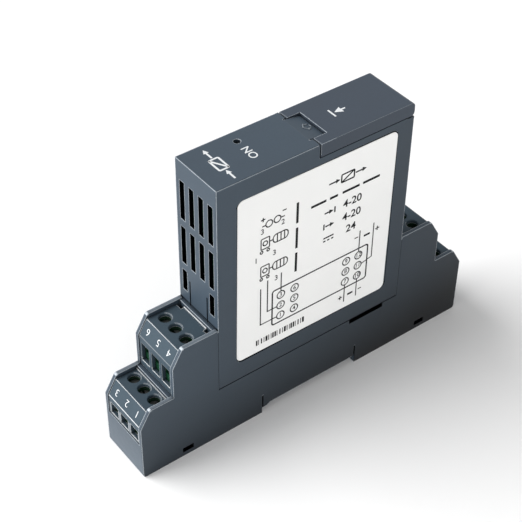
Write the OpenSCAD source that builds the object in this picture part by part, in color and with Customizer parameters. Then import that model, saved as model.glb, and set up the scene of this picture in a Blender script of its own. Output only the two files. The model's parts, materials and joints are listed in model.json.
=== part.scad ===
// Signal isolator for a 35 mm rail: base and tower shells, four rows of screw terminals,
// the boards inside, a rail latch and a flip lid over two trimmers.
// X runs along the rail, Y along the module and Z up. The origin is the middle of the resting face.

/* [Housing] */
// Length of the base from end face to end face
base_l = 118; // [114:1:130]
// Height from the resting face to the top
module_h = 89.8; // [82:0.2:110]
// Thickness of the moulded walls
wall = 1.2; // [1:0.1:1.5]
// Height of the seam between the two shells
seam_z = 19.6; // [18.4:0.2:22]
// Gap between the two shells at the level seam
seam_gap = 0.4; // [0.1:0.05:0.5]
// Gap between the tower's ends and the upper tiers
end_gap = 0.1; // [0.05:0.05:0.25]
// Gap between pieces that are fixed beside each other
fit_gap = 0.1; // [0.05:0.05:0.2]
// Gap between the side walls and the boards and blocks between them
side_gap = 0.3; // [0.2:0.05:0.5]
// Rounding of the outer corners of the side walls
corner_r = 0.9; // [0.3:0.1:1.2]
// Height of the slot under the seam
seam_slot_h = 1.5; // [0.8:0.1:2]
// Distance from the tower's far end to the slot under the seam
seam_slot_in = 5.4; // [3:0.1:10]
// Length of the slot under the seam
seam_slot_l = 12.9; // [8:0.1:14]
// Distance from the end faces to the small foot slots
foot_slot_in = 15.2; // [10:0.2:17]
// Length of the small foot slots
foot_slot_l = 3.7; // [2:0.1:6]
// Height of the small foot slots
foot_slot_h = 1.8; // [1:0.1:2.4]

/* [Terminals] */
// Distance between neighbouring poles
pole_pitch = 5; // [4.8:0.1:6]
// Plastic between the chambers of neighbouring poles
pole_wall = 0.9; // [0.7:0.1:1.1]
// Height of the lower tier's rim
low_tier_z = 25.4; // [25:0.2:28]
// Rise from the lower tier's rim to the upper one
tier_rise = 16.8; // [16:0.2:19]
// Step back from the lower terminal face to the upper one
tier_step = 11.1; // [10.6:0.1:12]
// Depth of the upper tier, from its terminal face back to the tower
tier_depth = 15.1; // [14.4:0.1:16.5]
// Depth of the slope above a terminal face
slope_run = 3.4; // [2.8:0.1:4]
// Height of the slope above a terminal face
slope_drop = 5.9; // [5:0.1:6.6]
// Depth of the cover plates below the rims
rim_depth = 1.3; // [0.9:0.1:1.8]
// Set-back of the covers behind the edges of the side walls
cover_set = 0.3; // [0.2:0.05:0.6]
// Thickness of the terminal covers
cover_t = 1.2; // [0.9:0.1:1.5]
// Height and width of the bead along the back of a cover plate
cover_bead = 0.3; // [0.2:0.05:0.5]
// Width of the ledge behind each cover plate
ledge_w = 1; // [0.8:0.1:1.3]
// Distance from a terminal face to its screw axes
screw_set = 7.3; // [7:0.1:7.8]
// Diameter of the screwdriver holes
driver_d = 3.6; // [3:0.1:3.9]
// Chamfer round the screwdriver holes
driver_rim = 0.2; // [0.1:0.05:0.3]
// Width of the wire windows
window_w = 3.8; // [3:0.1:4]
// Length of a terminal block from front to back
block_l = 10.6; // [10.4:0.1:11.4]
// Thickness of a block's front lip, which hangs in front of its board
block_lip_t = 0.8; // [0.5:0.1:1]
// Depth of a block's front lip
block_lip_h = 1.2; // [0.8:0.1:1.5]
// Width of a contact strip
contact_w = 2.3; // [1.8:0.1:2.4]
// Thickness of a contact strip
contact_t = 0.7; // [0.5:0.1:0.8]

/* [Clamps] */
// Outer height of a wire clamp
clamp_h = 5; // [4.6:0.1:5.4]
// Length of a wire clamp along the wire
clamp_l = 4; // [3.6:0.1:4.2]
// Thickness of a clamp's sides
clamp_side = 0.6; // [0.4:0.05:0.7]
// Thickness of a clamp's floor
clamp_floor = 0.7; // [0.5:0.1:0.9]
// Thickness of a clamp's threaded top
clamp_top = 0.9; // [0.7:0.1:1.2]
// Height of an open clamp above its board
clamp_rest = 0.9; // [0.6:0.1:1.1]
// Rise of a clamp from open to shut
clamp_travel = 2; // [1.6:0.1:2.1]
// Gap between a clamp and the walls that guide it
slide_gap = 0.15; // [0.1:0.05:0.25]
// Diameter of a clamp screw's shank
screw_d = 2.4; // [2:0.1:2.5]
// Diameter of a clamp screw's head
head_d = 3.3; // [2.9:0.1:3.6]
// Height of a clamp screw's head
head_h = 1.25; // [1:0.05:1.5]
// Width of a screw slot
slot_w = 0.6; // [0.4:0.1:0.8]
// Depth of a screw slot
slot_depth = 0.7; // [0.4:0.1:0.9]
// Gap round a clamp screw in its holes
screw_gap = 0.06; // [0.04:0.01:0.15]

/* [Top and lid] */
// Length of the lid
lid_l = 32.3; // [28:0.1:34]
// Height of the lid's skirts
skirt_h = 4.1; // [3.8:0.1:5]
// Thickness of the lid
lid_t = 1.3; // [1:0.1:1.6]
// Gap round the lid
lid_gap = 0.25; // [0.1:0.05:0.3]
// Gap in front of the lid
lid_front_gap = 0.4; // [0.2:0.05:0.6]
// Rounding of the lid's foot under the hinge
lid_foot_r = 1; // [0.6:0.1:1.2]
// Width of the pry notch in the lid
notch_w = 11.3; // [8:0.1:12]
// Depth of the pry notch in the lid
notch_l = 4.4; // [3:0.1:6]
// Drop of the ramp under the pry notch
ramp_drop = 0.9; // [0.6:0.1:1.2]
// Width of the slits beside the start of the ramp
ramp_slit_w = 0.35; // [0.2:0.05:0.5]
// Distance from the tower's end to the hinge axis
pivot_in = 1.6; // [1.5:0.1:1.8]
// Distance from the top to the hinge axis
pivot_down = 2.7; // [2.6:0.1:2.8]
// Diameter of the lid's hinge pins
pin_d = 1.4; // [1.2:0.1:1.5]
// Largest opening angle of the lid
lid_open = 90; // [80:5:105]
// Depth of the well under the lid
well_depth = 5; // [4.8:0.1:8]
// Diameter of the hole over the status light
light_hole_d = 2; // [1.5:0.1:2.6]
// Distance from the middle to the status light
light_y = 16.2; // [10:0.2:24]

/* [Vents] */
// Distance between the columns of vent slots
vent_pitch = 4.2; // [3.6:0.1:4.2]
// Width of a vent slot
vent_w = 2.2; // [1.4:0.1:2.4]
// Length of the short vent slots in the lowest row
vent_low_l = 7.2; // [5:0.1:9]
// Plastic between the rows of vent slots
vent_rib = 2.5; // [1.5:0.1:3]
// Distance from the top to the first row of vent slots
vent_down = 6.2; // [5:0.2:8]
// Distance between the slits beside a snap finger
finger_w = 8; // [6:0.2:8.4]
// Width of those slits
slit_w = 0.5; // [0.3:0.1:0.8]
// Length of a snap finger above the upper rim
finger_l = 8.5; // [6:0.1:10]

/* [Label] */
// Distance from the tower's ends to the label's recess
label_in = 5.65; // [3:0.05:12]
// Distance from the top to the label's recess
label_down = 6.5; // [5.4:0.1:20]
// Distance from the seam to the label's recess
label_up = 6.2; // [3:0.1:16]
// Shift of the recess from the tower's middle to the far end
label_shift = 0.4; // [-1:0.1:1]
// Gap round the label in its recess
label_gap = 0.35; // [0.3:0.05:0.6]
// Turn of the label in its recess
label_tilt = 0.5; // [-0.6:0.1:0.6]
// Rounding of the label's corners
label_r = 2.2; // [1:0.1:5]
// Thickness of the label
label_t = 0.15; // [0.1:0.05:0.2]
// Depth of the recess that takes the label
label_sink = 0.2; // [0.2:0.05:0.35]

/* [Rail foot] */
// Width of the rail
rail_w = 35; // [34.8:0.1:35.2]
// Gap between the rail's edge and the recess, each side
rail_gap = 0.1; // [0.05:0.05:0.3]
// Height of the rail recess
recess_h = 2.9; // [2.6:0.1:3.2]
// Height of the seat over the fixed rail edge
seat_h = 2.1; // [1.8:0.1:2.3]
// Length of that seat
seat_l = 1.8; // [1.4:0.1:2.4]
// Reach of the hook and the latch under the rail's edges
hook_reach = 1.4; // [1:0.1:1.8]
// Height of the hook's and the latch's upper face
hook_h = 1; // [0.8:0.05:1.05]
// Height of the hook's and the latch's lower face
hook_z = 0.25; // [0.15:0.05:0.4]
// Width of the latch's flange
latch_w = 10; // [8:0.2:11]
// Width of the latch's neck in the floor
latch_neck = 8; // [6:0.2:8.6]
// Thickness of the latch's flange
latch_t = 1.85; // [1.6:0.05:2.2]
// Gap between the latch and its channel
latch_gap = 0.15; // [0.1:0.05:0.25]
// Length of the spring between its two seats
spring_l = 14.4; // [12:0.2:18]
// Outer diameter of the spring
spring_d = 2.4; // [2:0.1:2.6]
// Diameter of the spring's wire
spring_wire = 0.4; // [0.3:0.05:0.5]
// Turns of the spring
spring_turns = 8; // [5:1:10]

/* [Boards] */
// Thickness of the boards
board_t = 1.6; // [1:0.1:1.8]
// Width of a trimmer along the board
trimmer_w = 6.8; // [6:0.1:7.4]
// Height of a trimmer above the board
trimmer_d = 6.6; // [6:0.1:7.4]
// Distance between the two trimmers
trimmer_pitch = 10; // [8.2:0.2:12]
// Diameter of a trimmer's rotor
rotor_d = 3.2; // [2.6:0.1:4]
// Diameter of the filter capacitor
capacitor_d = 8; // [5:0.1:10]
// Height of the filter capacitor
capacitor_h = 9.5; // [6:0.1:10.5]
// Width of the transformer's core
core_w = 14; // [12:0.2:18]
// Height of the transformer's core
core_h = 13; // [11:0.2:18]
// Thickness of the transformer's core
core_t = 5; // [4:0.1:5.4]
// Width of the core's middle leg
core_leg = 4.2; // [3:0.1:5]
// Diameter of the status light
light_d = 3; // [2:0.1:3.4]

/* [Hidden] */
$fn = 48;
// Overlap that keeps cuts clean
cut = 0.5;

ROWS = ["1_3", "4_6", "7_9", "10_12"];
ROW_PIECES = ["cover", "block", "contacts"];
POLES = [1:12];
poles_in_row = 3;

housing_colour = "#57616a";
cover_colour = "#4d575f";
label_colour = "#f0f0ee";
terminal_colour = "#1f7a3c";
steel_colour = "#b9bcbd";
contact_colour = "#c9b37a";
board_colour = "#1d5a35";
black_colour = "#25272a";
ferrite_colour = "#3a3a3c";
coil_colour = "#b5692c";
light_colour = "#5a6b52";
trimmer_colour = "#2a5fa5";

// Side walls and ends
inner_x = poles_in_row * pole_pitch / 2 + side_gap;
half_w = inner_x + wall;
half_l = base_l / 2;
low_face = half_l;
up_face = half_l - tier_step;
tower_y = up_face - tier_depth;
tower_in_y = tower_y - wall;
up_tier_z = low_tier_z + tier_rise;
ledge_h = rim_depth + cover_t;
up_ledge_y = tower_y + end_gap;
outline_steps = 4;
seam_slot_from = tower_y - seam_slot_in - seam_slot_l;
foot_slot_y = half_l - foot_slot_in;

// Label on the +X side of the tower
label_l = 2 * (tower_y - label_in);
label_h = module_h - label_down - seam_z - label_up;
label_z = seam_z + label_up + label_h / 2;

// Heights inside a terminal block, above its board
guide_ledge_gap = 0.2;
guide_ledge_t = 0.5;
head_cover = 1.1;
bar_top = clamp_rest + clamp_h - clamp_top - slide_gap;
bar_z = bar_top - contact_t;
guide_ledge_z = clamp_rest + clamp_h + clamp_travel + guide_ledge_gap;
head_z = guide_ledge_z + guide_ledge_t + screw_gap;
block_h = head_z + head_h + head_cover;
chamber_w = pole_pitch - pole_wall;
clamp_w = chamber_w - 2 * slide_gap;
chamber_front = clamp_l / 2 + slide_gap;
contact_space = 0.6;
chamber_back = clamp_l / 2 + contact_space + contact_t + slide_gap;
entry_edge = 0.2;
entry_w = window_w - 2 * entry_edge;
entry_z = clamp_rest + clamp_floor - entry_edge;
entry_top = clamp_rest + clamp_h - clamp_top;
window_edge = 0.4;
window_top = entry_top + window_edge;
bead = 0.05;

// Rows of terminals: 0 and 3 are the lower tier, 1 and 2 the upper one
function row_is_low(row) = row == 0 || row == 3;
function row_end(row) = row < 2 ? -1 : 1;
function row_face(row) = row_is_low(row) ? low_face : up_face;
function row_rim(row) = row_is_low(row) ? low_tier_z : up_tier_z;
function row_plate(row) = row_rim(row) - rim_depth;
function row_board(row) = row_plate(row) - cover_t - fit_gap - block_h;
function row_axis(row) = row_face(row) - screw_set;
function row_front(row) = row_face(row) - cover_set - cover_t - fit_gap;
function row_foot(row) = row_is_low(row) ? sill_z + fit_gap : low_tier_z - cover_set + fit_gap;
function row_sill(row) = row_is_low(row) ? row_foot(row) + sill_h : row_board(row) - block_lip_h;
function row_back(row) = (row_is_low(row) ? up_face : up_ledge_y) + ledge_w + fit_gap;
function pole_row(pole) = floor((pole - 1) / poles_in_row);
function pole_x(pole) = pole_pitch * (1 - (pole - 1) % poles_in_row);

low_board_z = row_board(0);
up_board_z = row_board(1);
sill_h = 0.5;
sill_rise = 0.8;
sill_z = low_board_z + sill_rise;

// Slope of the covers: distance along Y of the outer and the inner face at a height
slope_skin = cover_t * sqrt(1 + pow(slope_run / slope_drop, 2));
function slope_in(row, z) = slope_run * (z - row_rim(row) + slope_drop) / slope_drop;
function slope_y(row, z) = row_face(row) - cover_set - slope_in(row, z);
function slope_foot(row, inset) = row_rim(row) - slope_drop - inset * slope_drop / slope_run;

// Rail foot
rail_y = rail_w / 2 + rail_gap;
web_y = rail_y + wall;
recess_slope = 1.2;
foot_slot_z = 1.4;
rail_slit_w = 0.5;
rail_slit_h = 4.3;
latch_flange_z = wall + latch_gap;
channel_top = latch_flange_z + latch_t + latch_gap;
tunnel_top = channel_top + wall;
channel_x = latch_w / 2 + latch_gap;
neck_x = latch_neck / 2 + latch_gap;
latch_end_y = half_l - cover_set;
latch_in_y = web_y + latch_gap;
spring_wall = 4.5;
spring_y = latch_in_y + spring_wall;
peg_l = 1.9;
peg_y = spring_y + spring_l;
peg_x = 1.4;
spring_z = channel_top - latch_gap - spring_d / 2;
pull_slot_w = 4.4;
pull_slot_l = 1.8;
pull_slot_in = 4;

// Lid, well and hinge
lid_y = tower_y - lid_l;
step_y = lid_y - lid_front_gap;
lid_under = module_h - lid_t;
lid_seat = module_h - skirt_h - lid_gap;
well_z = lid_under - well_depth;
deck_z = well_z - wall;
parapet_x = half_w - lid_t - lid_gap;
well_x = parapet_x - wall;
pivot_y = tower_y - pivot_in;
pivot_z = module_h - pivot_down;
lid_sweep = norm([pivot_in - lid_foot_r, skirt_h - pivot_down - lid_foot_r]) + lid_foot_r + lid_gap;
relief_z = pivot_z - pivot_in * tan(lid_open / 2) - lid_gap;
pin_gap = 0.08;
ear_wall = 0.45;
ear_r = pin_d / 2 + pin_gap + ear_wall;
ramp_lead = 0.9;
ramp_start = step_y - ramp_lead;
ramp_end = lid_y + notch_l - lid_gap;
lid_end_r = 1.2;
lid_edge_r = 0.3;

// Boards
board_x = inner_x - side_gap;
main_x = -vent_pitch;
main_face = main_x + board_t / 2;
main_back = main_x - board_t / 2;
main_edge_gap = 0.5;
main_y = tower_in_y - main_edge_gap;
socket_seat = 2.5;
socket_h = 6;
socket_l = 28;
socket_wall = 1.2;
main_z = low_board_z + socket_seat;
main_top_gap = 0.9;
main_top = deck_z - main_top_gap;
low_board_y = row_front(0) - block_lip_t - fit_gap;
riser_in = up_ledge_y + side_gap;
riser_out = row_front(1) - block_lip_t - fit_gap;
riser_z = up_board_z - board_t;
pin_pitch = 2.54;
pin_w = 0.64;
riser_pin_in = 2;
riser_pin_y = riser_in + riser_pin_in;
shelf_w = 1;
rib_space = 2;
rib_in_y = web_y + rib_space;
rib_out_y = foot_slot_y + foot_slot_l;
light_x = main_back;
light_top = module_h - wall - side_gap;
trimmer_y = (ramp_end + pivot_y - lid_sweep) / 2;
trimmer_sunk = 0.5;
trimmer_top = well_z - trimmer_sunk;
trimmer_h = 6.6;
rotor_x = main_face + trimmer_d / 2;
rotor_rise = 0.3;
rotor_sink = 0.8;
core_edge = core_h / 4;
core_z = 50;
core_y = -14;
core_stand = 1.5;
capacitor_y = 14;
chip_t = 1.7;
chip_l = 10;
chip_h = 7.5;
chip_pitch = 15;

// Solid between two opposite corners
module box_between(low, high) {
    translate(low)
        cube(high - low);
}

// Outline in Y and Z, extruded along X and centred on it
module x_prism(points, width) {
    rotate([90, 0, 90])
        linear_extrude(height = width, center = true)
            polygon(points);
}

// Cylinder along X between two places
module x_cylinder(x_from, x_to, y, z, d) {
    translate([x_from, y, z])
        rotate([0, 90, 0])
            cylinder(d = d, h = x_to - x_from);
}

// Far end as drawn, near end mirrored
module at_end(end) {
    mirror([0, end < 0 ? 1 : 0, 0])
        children();
}

module both_ends() {
    for (end = [-1, 1])
        at_end(end)
            children();
}

module both_sides() {
    for (side = [0, 1])
        mirror([side, 0, 0])
            children();
}

// Points of an outline whose corners [y, z, radius] are rounded
function unit(v) = v / norm(v);
function flat(p) = [p[0], p[1]];
function corner_arc(before, corner, after) =
    let (
        p = flat(corner),
        r = corner[2],
        u = unit(flat(before) - p),
        v = unit(flat(after) - p),
        half = acos(u * v) / 2,
        centre = p + unit(u + v) * r / sin(half),
        from = p + u * r / tan(half) - centre,
        start = atan2(from[1], from[0]),
        turn = (cross(u, v) < 0 ? 1 : -1) * (180 - 2 * half)
    )
    [for (i = [0:outline_steps])
        let (angle = start + turn * i / outline_steps)
        centre + r * [cos(angle), sin(angle)]];
function outline(corners) =
    let (n = len(corners))
    [for (i = [0:n - 1])
        each corners[i][2] > 0
            ? corner_arc(corners[(i + n - 1) % n], corners[i], corners[(i + 1) % n])
            : [flat(corners[i])]];

// Side of the base at one end, from the foot up to the seam under the tower
base_steps = [
    [low_face, 0, corner_r],
    [low_face, low_tier_z - slope_drop, corner_r],
    [low_face - slope_run, low_tier_z, corner_r],
    [up_face, low_tier_z, 0],
    [up_face, up_tier_z - slope_drop, corner_r],
    [up_face - slope_run, up_tier_z, corner_r],
    [up_ledge_y, up_tier_z, 0],
    [up_ledge_y, seam_z - seam_gap, 0]
];
rail_recess = [
    [rail_y, 0, 0],
    [rail_y, recess_h, 0],
    [seat_l + recess_slope - rail_y, recess_h, 0],
    [seat_l - rail_y, seat_h, 0],
    [-rail_y, seat_h, 0],
    [-rail_y, 0, 0]
];
base_side = concat(
    [for (p = base_steps) [-p[0], p[1], p[2]]],
    [for (i = [len(base_steps) - 1:-1:0]) base_steps[i]],
    rail_recess
);
cavity_half = [
    [low_face + cut, up_tier_z + cut],
    [low_face + cut, sill_z],
    [low_face - wall, sill_z],
    [low_face - wall, wall],
    [web_y, wall],
    [web_y, recess_h + wall]
];
base_cavity = concat(
    cavity_half,
    [for (i = [len(cavity_half) - 1:-1:0]) [-cavity_half[i][0], cavity_half[i][1]]]
);

module base_housing() {
    color(housing_colour) {
        difference() {
            union() {
                base_shell();
                base_ledges();
                base_ribs();
                latch_tunnel();
            }
            base_side_cuts();
            latch_channel();
        }
        spring_peg();
        rail_hook();
    }
}

module base_shell() {
    difference() {
        x_prism(outline(base_side), 2 * half_w);
        x_prism(base_cavity, 2 * inner_x);
    }
}

// Cross ledges behind the cover plates and shelves under the riser boards
module base_ledges() {
    upper_in = up_face - cover_set - cover_t;
    both_ends() {
        box_between(
            [-inner_x - cut, up_ledge_y, up_tier_z - ledge_h],
            [inner_x + cut, up_ledge_y + ledge_w, up_tier_z - cover_set]
        );
        box_between(
            [-inner_x - cut, upper_in, low_tier_z - ledge_h],
            [inner_x + cut, up_face + ledge_w, low_tier_z - cover_set]
        );
        both_sides()
            box_between(
                [inner_x - shelf_w, up_ledge_y, riser_z - shelf_w],
                [inner_x + cut, upper_in, riser_z]
            );
    }
}

// Ribs across the floor that carry the base board
module base_ribs() {
    both_ends()
        for (y = [rib_in_y, rib_out_y])
            box_between([-inner_x - cut, y, wall - cut], [inner_x + cut, y + wall, low_board_z - board_t]);
}

module base_side_cuts() {
    both_sides() {
        box_between(
            [inner_x - cut, seam_slot_from, seam_z - seam_gap - seam_slot_h],
            [half_w + cut, seam_slot_from + seam_slot_l, seam_z + cut]
        );
        both_ends() {
            box_between(
                [inner_x - cut, foot_slot_y - foot_slot_l / 2, foot_slot_z],
                [half_w + cut, foot_slot_y + foot_slot_l / 2, foot_slot_z + foot_slot_h]
            );
            box_between(
                [inner_x - cut, rail_y - rail_slit_w, recess_h - cut],
                [half_w + cut, rail_y, recess_h + rail_slit_h]
            );
        }
    }
}

// Guide for the rail latch under the far half of the base
module latch_tunnel() {
    tunnel_x = channel_x + wall;
    box_between([-tunnel_x, rail_y, wall - cut], [tunnel_x, half_l - wall / 2, tunnel_top]);
}

module latch_channel() {
    box_between([-channel_x, web_y, wall], [channel_x, half_l + cut, channel_top]);
    box_between([-neck_x, rail_y - cut, -cut], [neck_x, half_l + cut, wall + cut]);
}

module spring_peg() {
    box_between([-peg_x, peg_y, hook_z], [peg_x, peg_y + peg_l, channel_top + cut]);
}

module rail_hook() {
    lead = 0.35;
    tip = hook_reach - rail_y;
    x_prism(
        [[-web_y, hook_z], [tip - lead, hook_z], [tip, hook_z + lead], [tip, hook_h], [-web_y, hook_h]],
        latch_neck
    );
}

module rail_latch() {
    window_x = peg_x + latch_gap;
    nose_y = rail_y - hook_reach;
    color(black_colour)
        difference() {
            union() {
                box_between(
                    [-latch_w / 2, latch_in_y, latch_flange_z],
                    [latch_w / 2, latch_end_y, latch_flange_z + latch_t]
                );
                box_between(
                    [-latch_neck / 2, latch_in_y, hook_z],
                    [latch_neck / 2, latch_end_y, latch_flange_z + cut]
                );
                x_prism(
                    [
                        [latch_in_y + cut, hook_z],
                        [nose_y + hook_h - hook_z, hook_z],
                        [nose_y, hook_h],
                        [latch_in_y + cut, hook_h]
                    ],
                    latch_neck
                );
            }
            box_between([-window_x, spring_y, -cut], [window_x, peg_y + peg_l + latch_gap, tunnel_top]);
            box_between(
                [-pull_slot_w / 2, latch_end_y - pull_slot_in - pull_slot_l, -cut],
                [pull_slot_w / 2, latch_end_y - pull_slot_in, tunnel_top]
            );
        }
}

// Wire of the spring, swept along a helix whose axis runs along Y
spring_sides = 8;
spring_steps = 16 * spring_turns;
spring_r = (spring_d - spring_wire) / 2;
spring_from = spring_y + spring_wire / 2 + bead;
spring_to = peg_y - spring_wire / 2 - bead;
function spring_point(i, j) =
    let (
        around = 360 * spring_turns * i / spring_steps,
        side = 360 * j / spring_sides,
        r = spring_r + spring_wire / 2 * cos(side)
    )
    [
        r * cos(around),
        spring_from + (spring_to - spring_from) * i / spring_steps + spring_wire / 2 * sin(side),
        spring_z + r * sin(around)
    ];
function ring_index(i, j) = i * spring_sides + j % spring_sides;

module latch_spring() {
    points = [for (i = [0:spring_steps]) for (j = [0:spring_sides - 1]) spring_point(i, j)];
    skin = [
        for (i = [0:spring_steps - 1])
            for (j = [0:spring_sides - 1])
                [ring_index(i, j), ring_index(i, j + 1), ring_index(i + 1, j + 1), ring_index(i + 1, j)]
    ];
    first = [[for (j = [spring_sides - 1:-1:0]) j]];
    last = [[for (j = [0:spring_sides - 1]) ring_index(spring_steps, j)]];
    color(steel_colour)
        polyhedron(points, concat(skin, first, last));
}

module tower_housing() {
    color(housing_colour) {
        difference() {
            box_between([-half_w, -tower_y, seam_z], [half_w, tower_y, module_h]);
            tower_cavity();
            lid_space();
            ramp_wedge();
            ramp_slits();
            end_openings();
            light_hole();
            label_plate(half_w - label_sink, label_sink + cut, 0, 0);
        }
        lid_parapets();
        lid_ears();
        pry_ramp();
        seam_lips();
        finger_barbs();
    }
}

module tower_cavity() {
    box_between([-inner_x, -tower_in_y, seam_z - cut], [inner_x, tower_in_y, deck_z]);
    box_between([-inner_x, -tower_in_y, seam_z], [inner_x, step_y - wall, module_h - wall]);
    box_between([-inner_x, -tower_y - cut, seam_z - cut], [inner_x, tower_y + cut, end_foot_z]);
}

// Room for the lid, the well under it and a window in the deck over the trimmers
module lid_space() {
    window_y = trimmer_pitch / 2 + trimmer_w / 2 + side_gap;
    box_between([-half_w - cut, step_y, lid_seat], [half_w + cut, tower_y + cut, module_h + cut]);
    box_between([-well_x, step_y, well_z], [well_x, tower_in_y, module_h + cut]);
    box_between([-half_w - cut, pivot_y, relief_z], [half_w + cut, tower_y + cut, module_h + cut]);
    x_cylinder(-half_w - cut, half_w + cut, pivot_y, pivot_z, 2 * lid_sweep);
    box_between(
        [main_face - side_gap, trimmer_y - window_y, deck_z - cut],
        [main_face + trimmer_d + side_gap, trimmer_y + window_y, well_z + cut]
    );
}

module lid_parapets() {
    both_sides()
        box_between(
            [well_x, step_y - cut, lid_seat - cut],
            [parapet_x, pivot_y - lid_sweep - lid_gap, lid_under - fit_gap]
        );
}

// Two ears that take the lid's hinge pins
module lid_ears() {
    both_sides()
        difference() {
            union() {
                x_cylinder(well_x, parapet_x, pivot_y, pivot_z, 2 * ear_r);
                box_between(
                    [well_x, pivot_y - ear_r, pivot_z - lid_sweep - cut],
                    [parapet_x, pivot_y + ear_r / 2, pivot_z]
                );
            }
            x_cylinder(well_x - cut, parapet_x + cut, pivot_y, pivot_z, pin_d + 2 * pin_gap);
        }
}

// Sloping pad under the pry notch, and the wedge that it continues in the top
function ramp_z(y) = module_h - ramp_drop * (y - ramp_start) / (ramp_end - ramp_start);

module ramp_wedge() {
    x_prism(
        [
            [ramp_start, module_h],
            [step_y + cut, ramp_z(step_y + cut)],
            [step_y + cut, module_h + cut],
            [ramp_start, module_h + cut]
        ],
        notch_w
    );
}

module ramp_slits() {
    slit_x = notch_w / 2 - lid_gap;
    both_sides()
        box_between(
            [slit_x, ramp_start, module_h - wall],
            [slit_x + ramp_slit_w, step_y + cut, module_h + cut]
        );
}

module pry_ramp() {
    x_prism(
        [
            [step_y - wall, well_z - cut],
            [step_y - wall, ramp_z(step_y)],
            [step_y, ramp_z(step_y)],
            [ramp_end, ramp_z(ramp_end)],
            [ramp_end, well_z - cut]
        ],
        notch_w - 2 * lid_gap
    );
}

// Vent slots, slits of the snap fingers and the foot of the end walls
end_foot_z = up_tier_z - ledge_h - wall;
vent_low_rise = 3.8;
vent_low = up_tier_z + vent_low_rise;
vent_low_top = vent_low + vent_low_l;
vent_l = (module_h - vent_down - vent_low_top) / 2 - vent_rib;
vent_rows = [
    for (row = [0, 1])
        let (top = module_h - vent_down - row * (vent_l + vent_rib))
        [top - vent_l, top]
];

module end_openings() {
    columns = [-1.5, -0.5, 0.5, 1.5];
    both_ends() {
        for (row = vent_rows)
            for (column = columns)
                vent_slot(column * vent_pitch, row[0], row[1]);
        for (column = [columns[0], columns[3]])
            vent_slot(column * vent_pitch, vent_low, vent_low_top);
        both_sides()
            box_between(
                [(finger_w - slit_w) / 2, tower_in_y - cut, end_foot_z - cut],
                [(finger_w + slit_w) / 2, tower_y + cut, up_tier_z + finger_l]
            );
    }
}

module vent_slot(x, z_from, z_to) {
    box_between([x - vent_w / 2, tower_in_y, z_from], [x + vent_w / 2, tower_y + cut, z_to]);
}

module light_hole() {
    translate([light_x, -light_y, module_h - wall - cut])
        cylinder(d = light_hole_d, h = wall + 2 * cut);
}

// Lips inside the seam that centre the tower on the base
module seam_lips() {
    lip_h = 4;
    lip_l = tower_in_y - wall;
    both_sides() {
        box_between(
            [inner_x - fit_gap - wall, -lip_l, seam_z - lip_h],
            [inner_x - fit_gap, lip_l, seam_z + wall]
        );
        box_between([inner_x - wall, -lip_l, seam_z], [inner_x + cut, lip_l, seam_z + wall]);
    }
}

// Barbs of the snap fingers, which catch under the upper ledges
module finger_barbs() {
    barb_top = up_tier_z - ledge_h - fit_gap;
    barb_w = finger_w - slit_w - 2 * fit_gap;
    barb_out = tower_y + end_gap + ledge_w / 2;
    both_ends()
        x_prism([[tower_y - cut, end_foot_z], [barb_out, barb_top], [tower_y - cut, barb_top]], barb_w);
}

module flip_lid() {
    foot = module_h - skirt_h;
    ear_slot = parapet_x + lid_gap;
    color(cover_colour) {
        difference() {
            x_prism(
                outline([
                    [lid_y, foot, 0],
                    [tower_y, foot, lid_foot_r],
                    [tower_y, module_h, lid_end_r],
                    [lid_y, module_h, lid_edge_r]
                ]),
                2 * half_w
            );
            box_between(
                [lid_t - half_w, lid_y - cut, foot - cut],
                [half_w - lid_t, tower_y - lid_t, lid_under]
            );
            box_between(
                [-notch_w / 2, lid_y - cut, foot - cut],
                [notch_w / 2, lid_y + notch_l, module_h + cut]
            );
            both_sides()
                box_between(
                    [well_x - lid_gap, tower_y - lid_t - cut, foot - cut],
                    [ear_slot, tower_y + cut, lid_under]
                );
        }
        both_sides()
            x_cylinder(well_x, half_w - lid_t / 2, pivot_y, pivot_z, pin_d);
    }
}

// Plate with rounded corners on the +X side, smaller all round by an inset and turned
module label_plate(x, thickness, inset, tilt) {
    l = label_l - 2 * inset;
    h = label_h - 2 * inset;
    r = label_r - inset;
    translate([x, label_shift, label_z])
        rotate([tilt, 0, 0])
            rotate([90, 0, 90])
                linear_extrude(height = thickness) {
                    square([l - 2 * r, h], center = true);
                    square([l, h - 2 * r], center = true);
                    for (u = [-1, 1])
                        for (v = [-1, 1])
                            translate([u * (l / 2 - r), v * (h / 2 - r)])
                                circle(r = r);
                }
}

module side_label() {
    color(label_colour)
        label_plate(half_w - label_sink, label_t, label_gap, -label_tilt);
}

// Cover plate with its bead, slope and window wall of one row, drawn at the far end
function cover_outline(row) =
    let (
        face = row_face(row) - cover_set,
        plate = row_plate(row),
        back = row_back(row),
        under = plate - cover_t
    )
    [
        [back, plate + cover_bead, 0],
        [back + cover_bead, plate + cover_bead, 0],
        [back + cover_bead, plate, 0],
        [slope_y(row, plate), plate, 0],
        [face, row_rim(row) - slope_drop, corner_r],
        [face, row_foot(row), 0],
        [face - cover_t, row_foot(row), 0],
        [face - cover_t, slope_foot(row, slope_skin - cover_t), 0],
        [slope_y(row, under) - slope_skin, under, 0],
        [back, under, 0]
    ];

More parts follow.
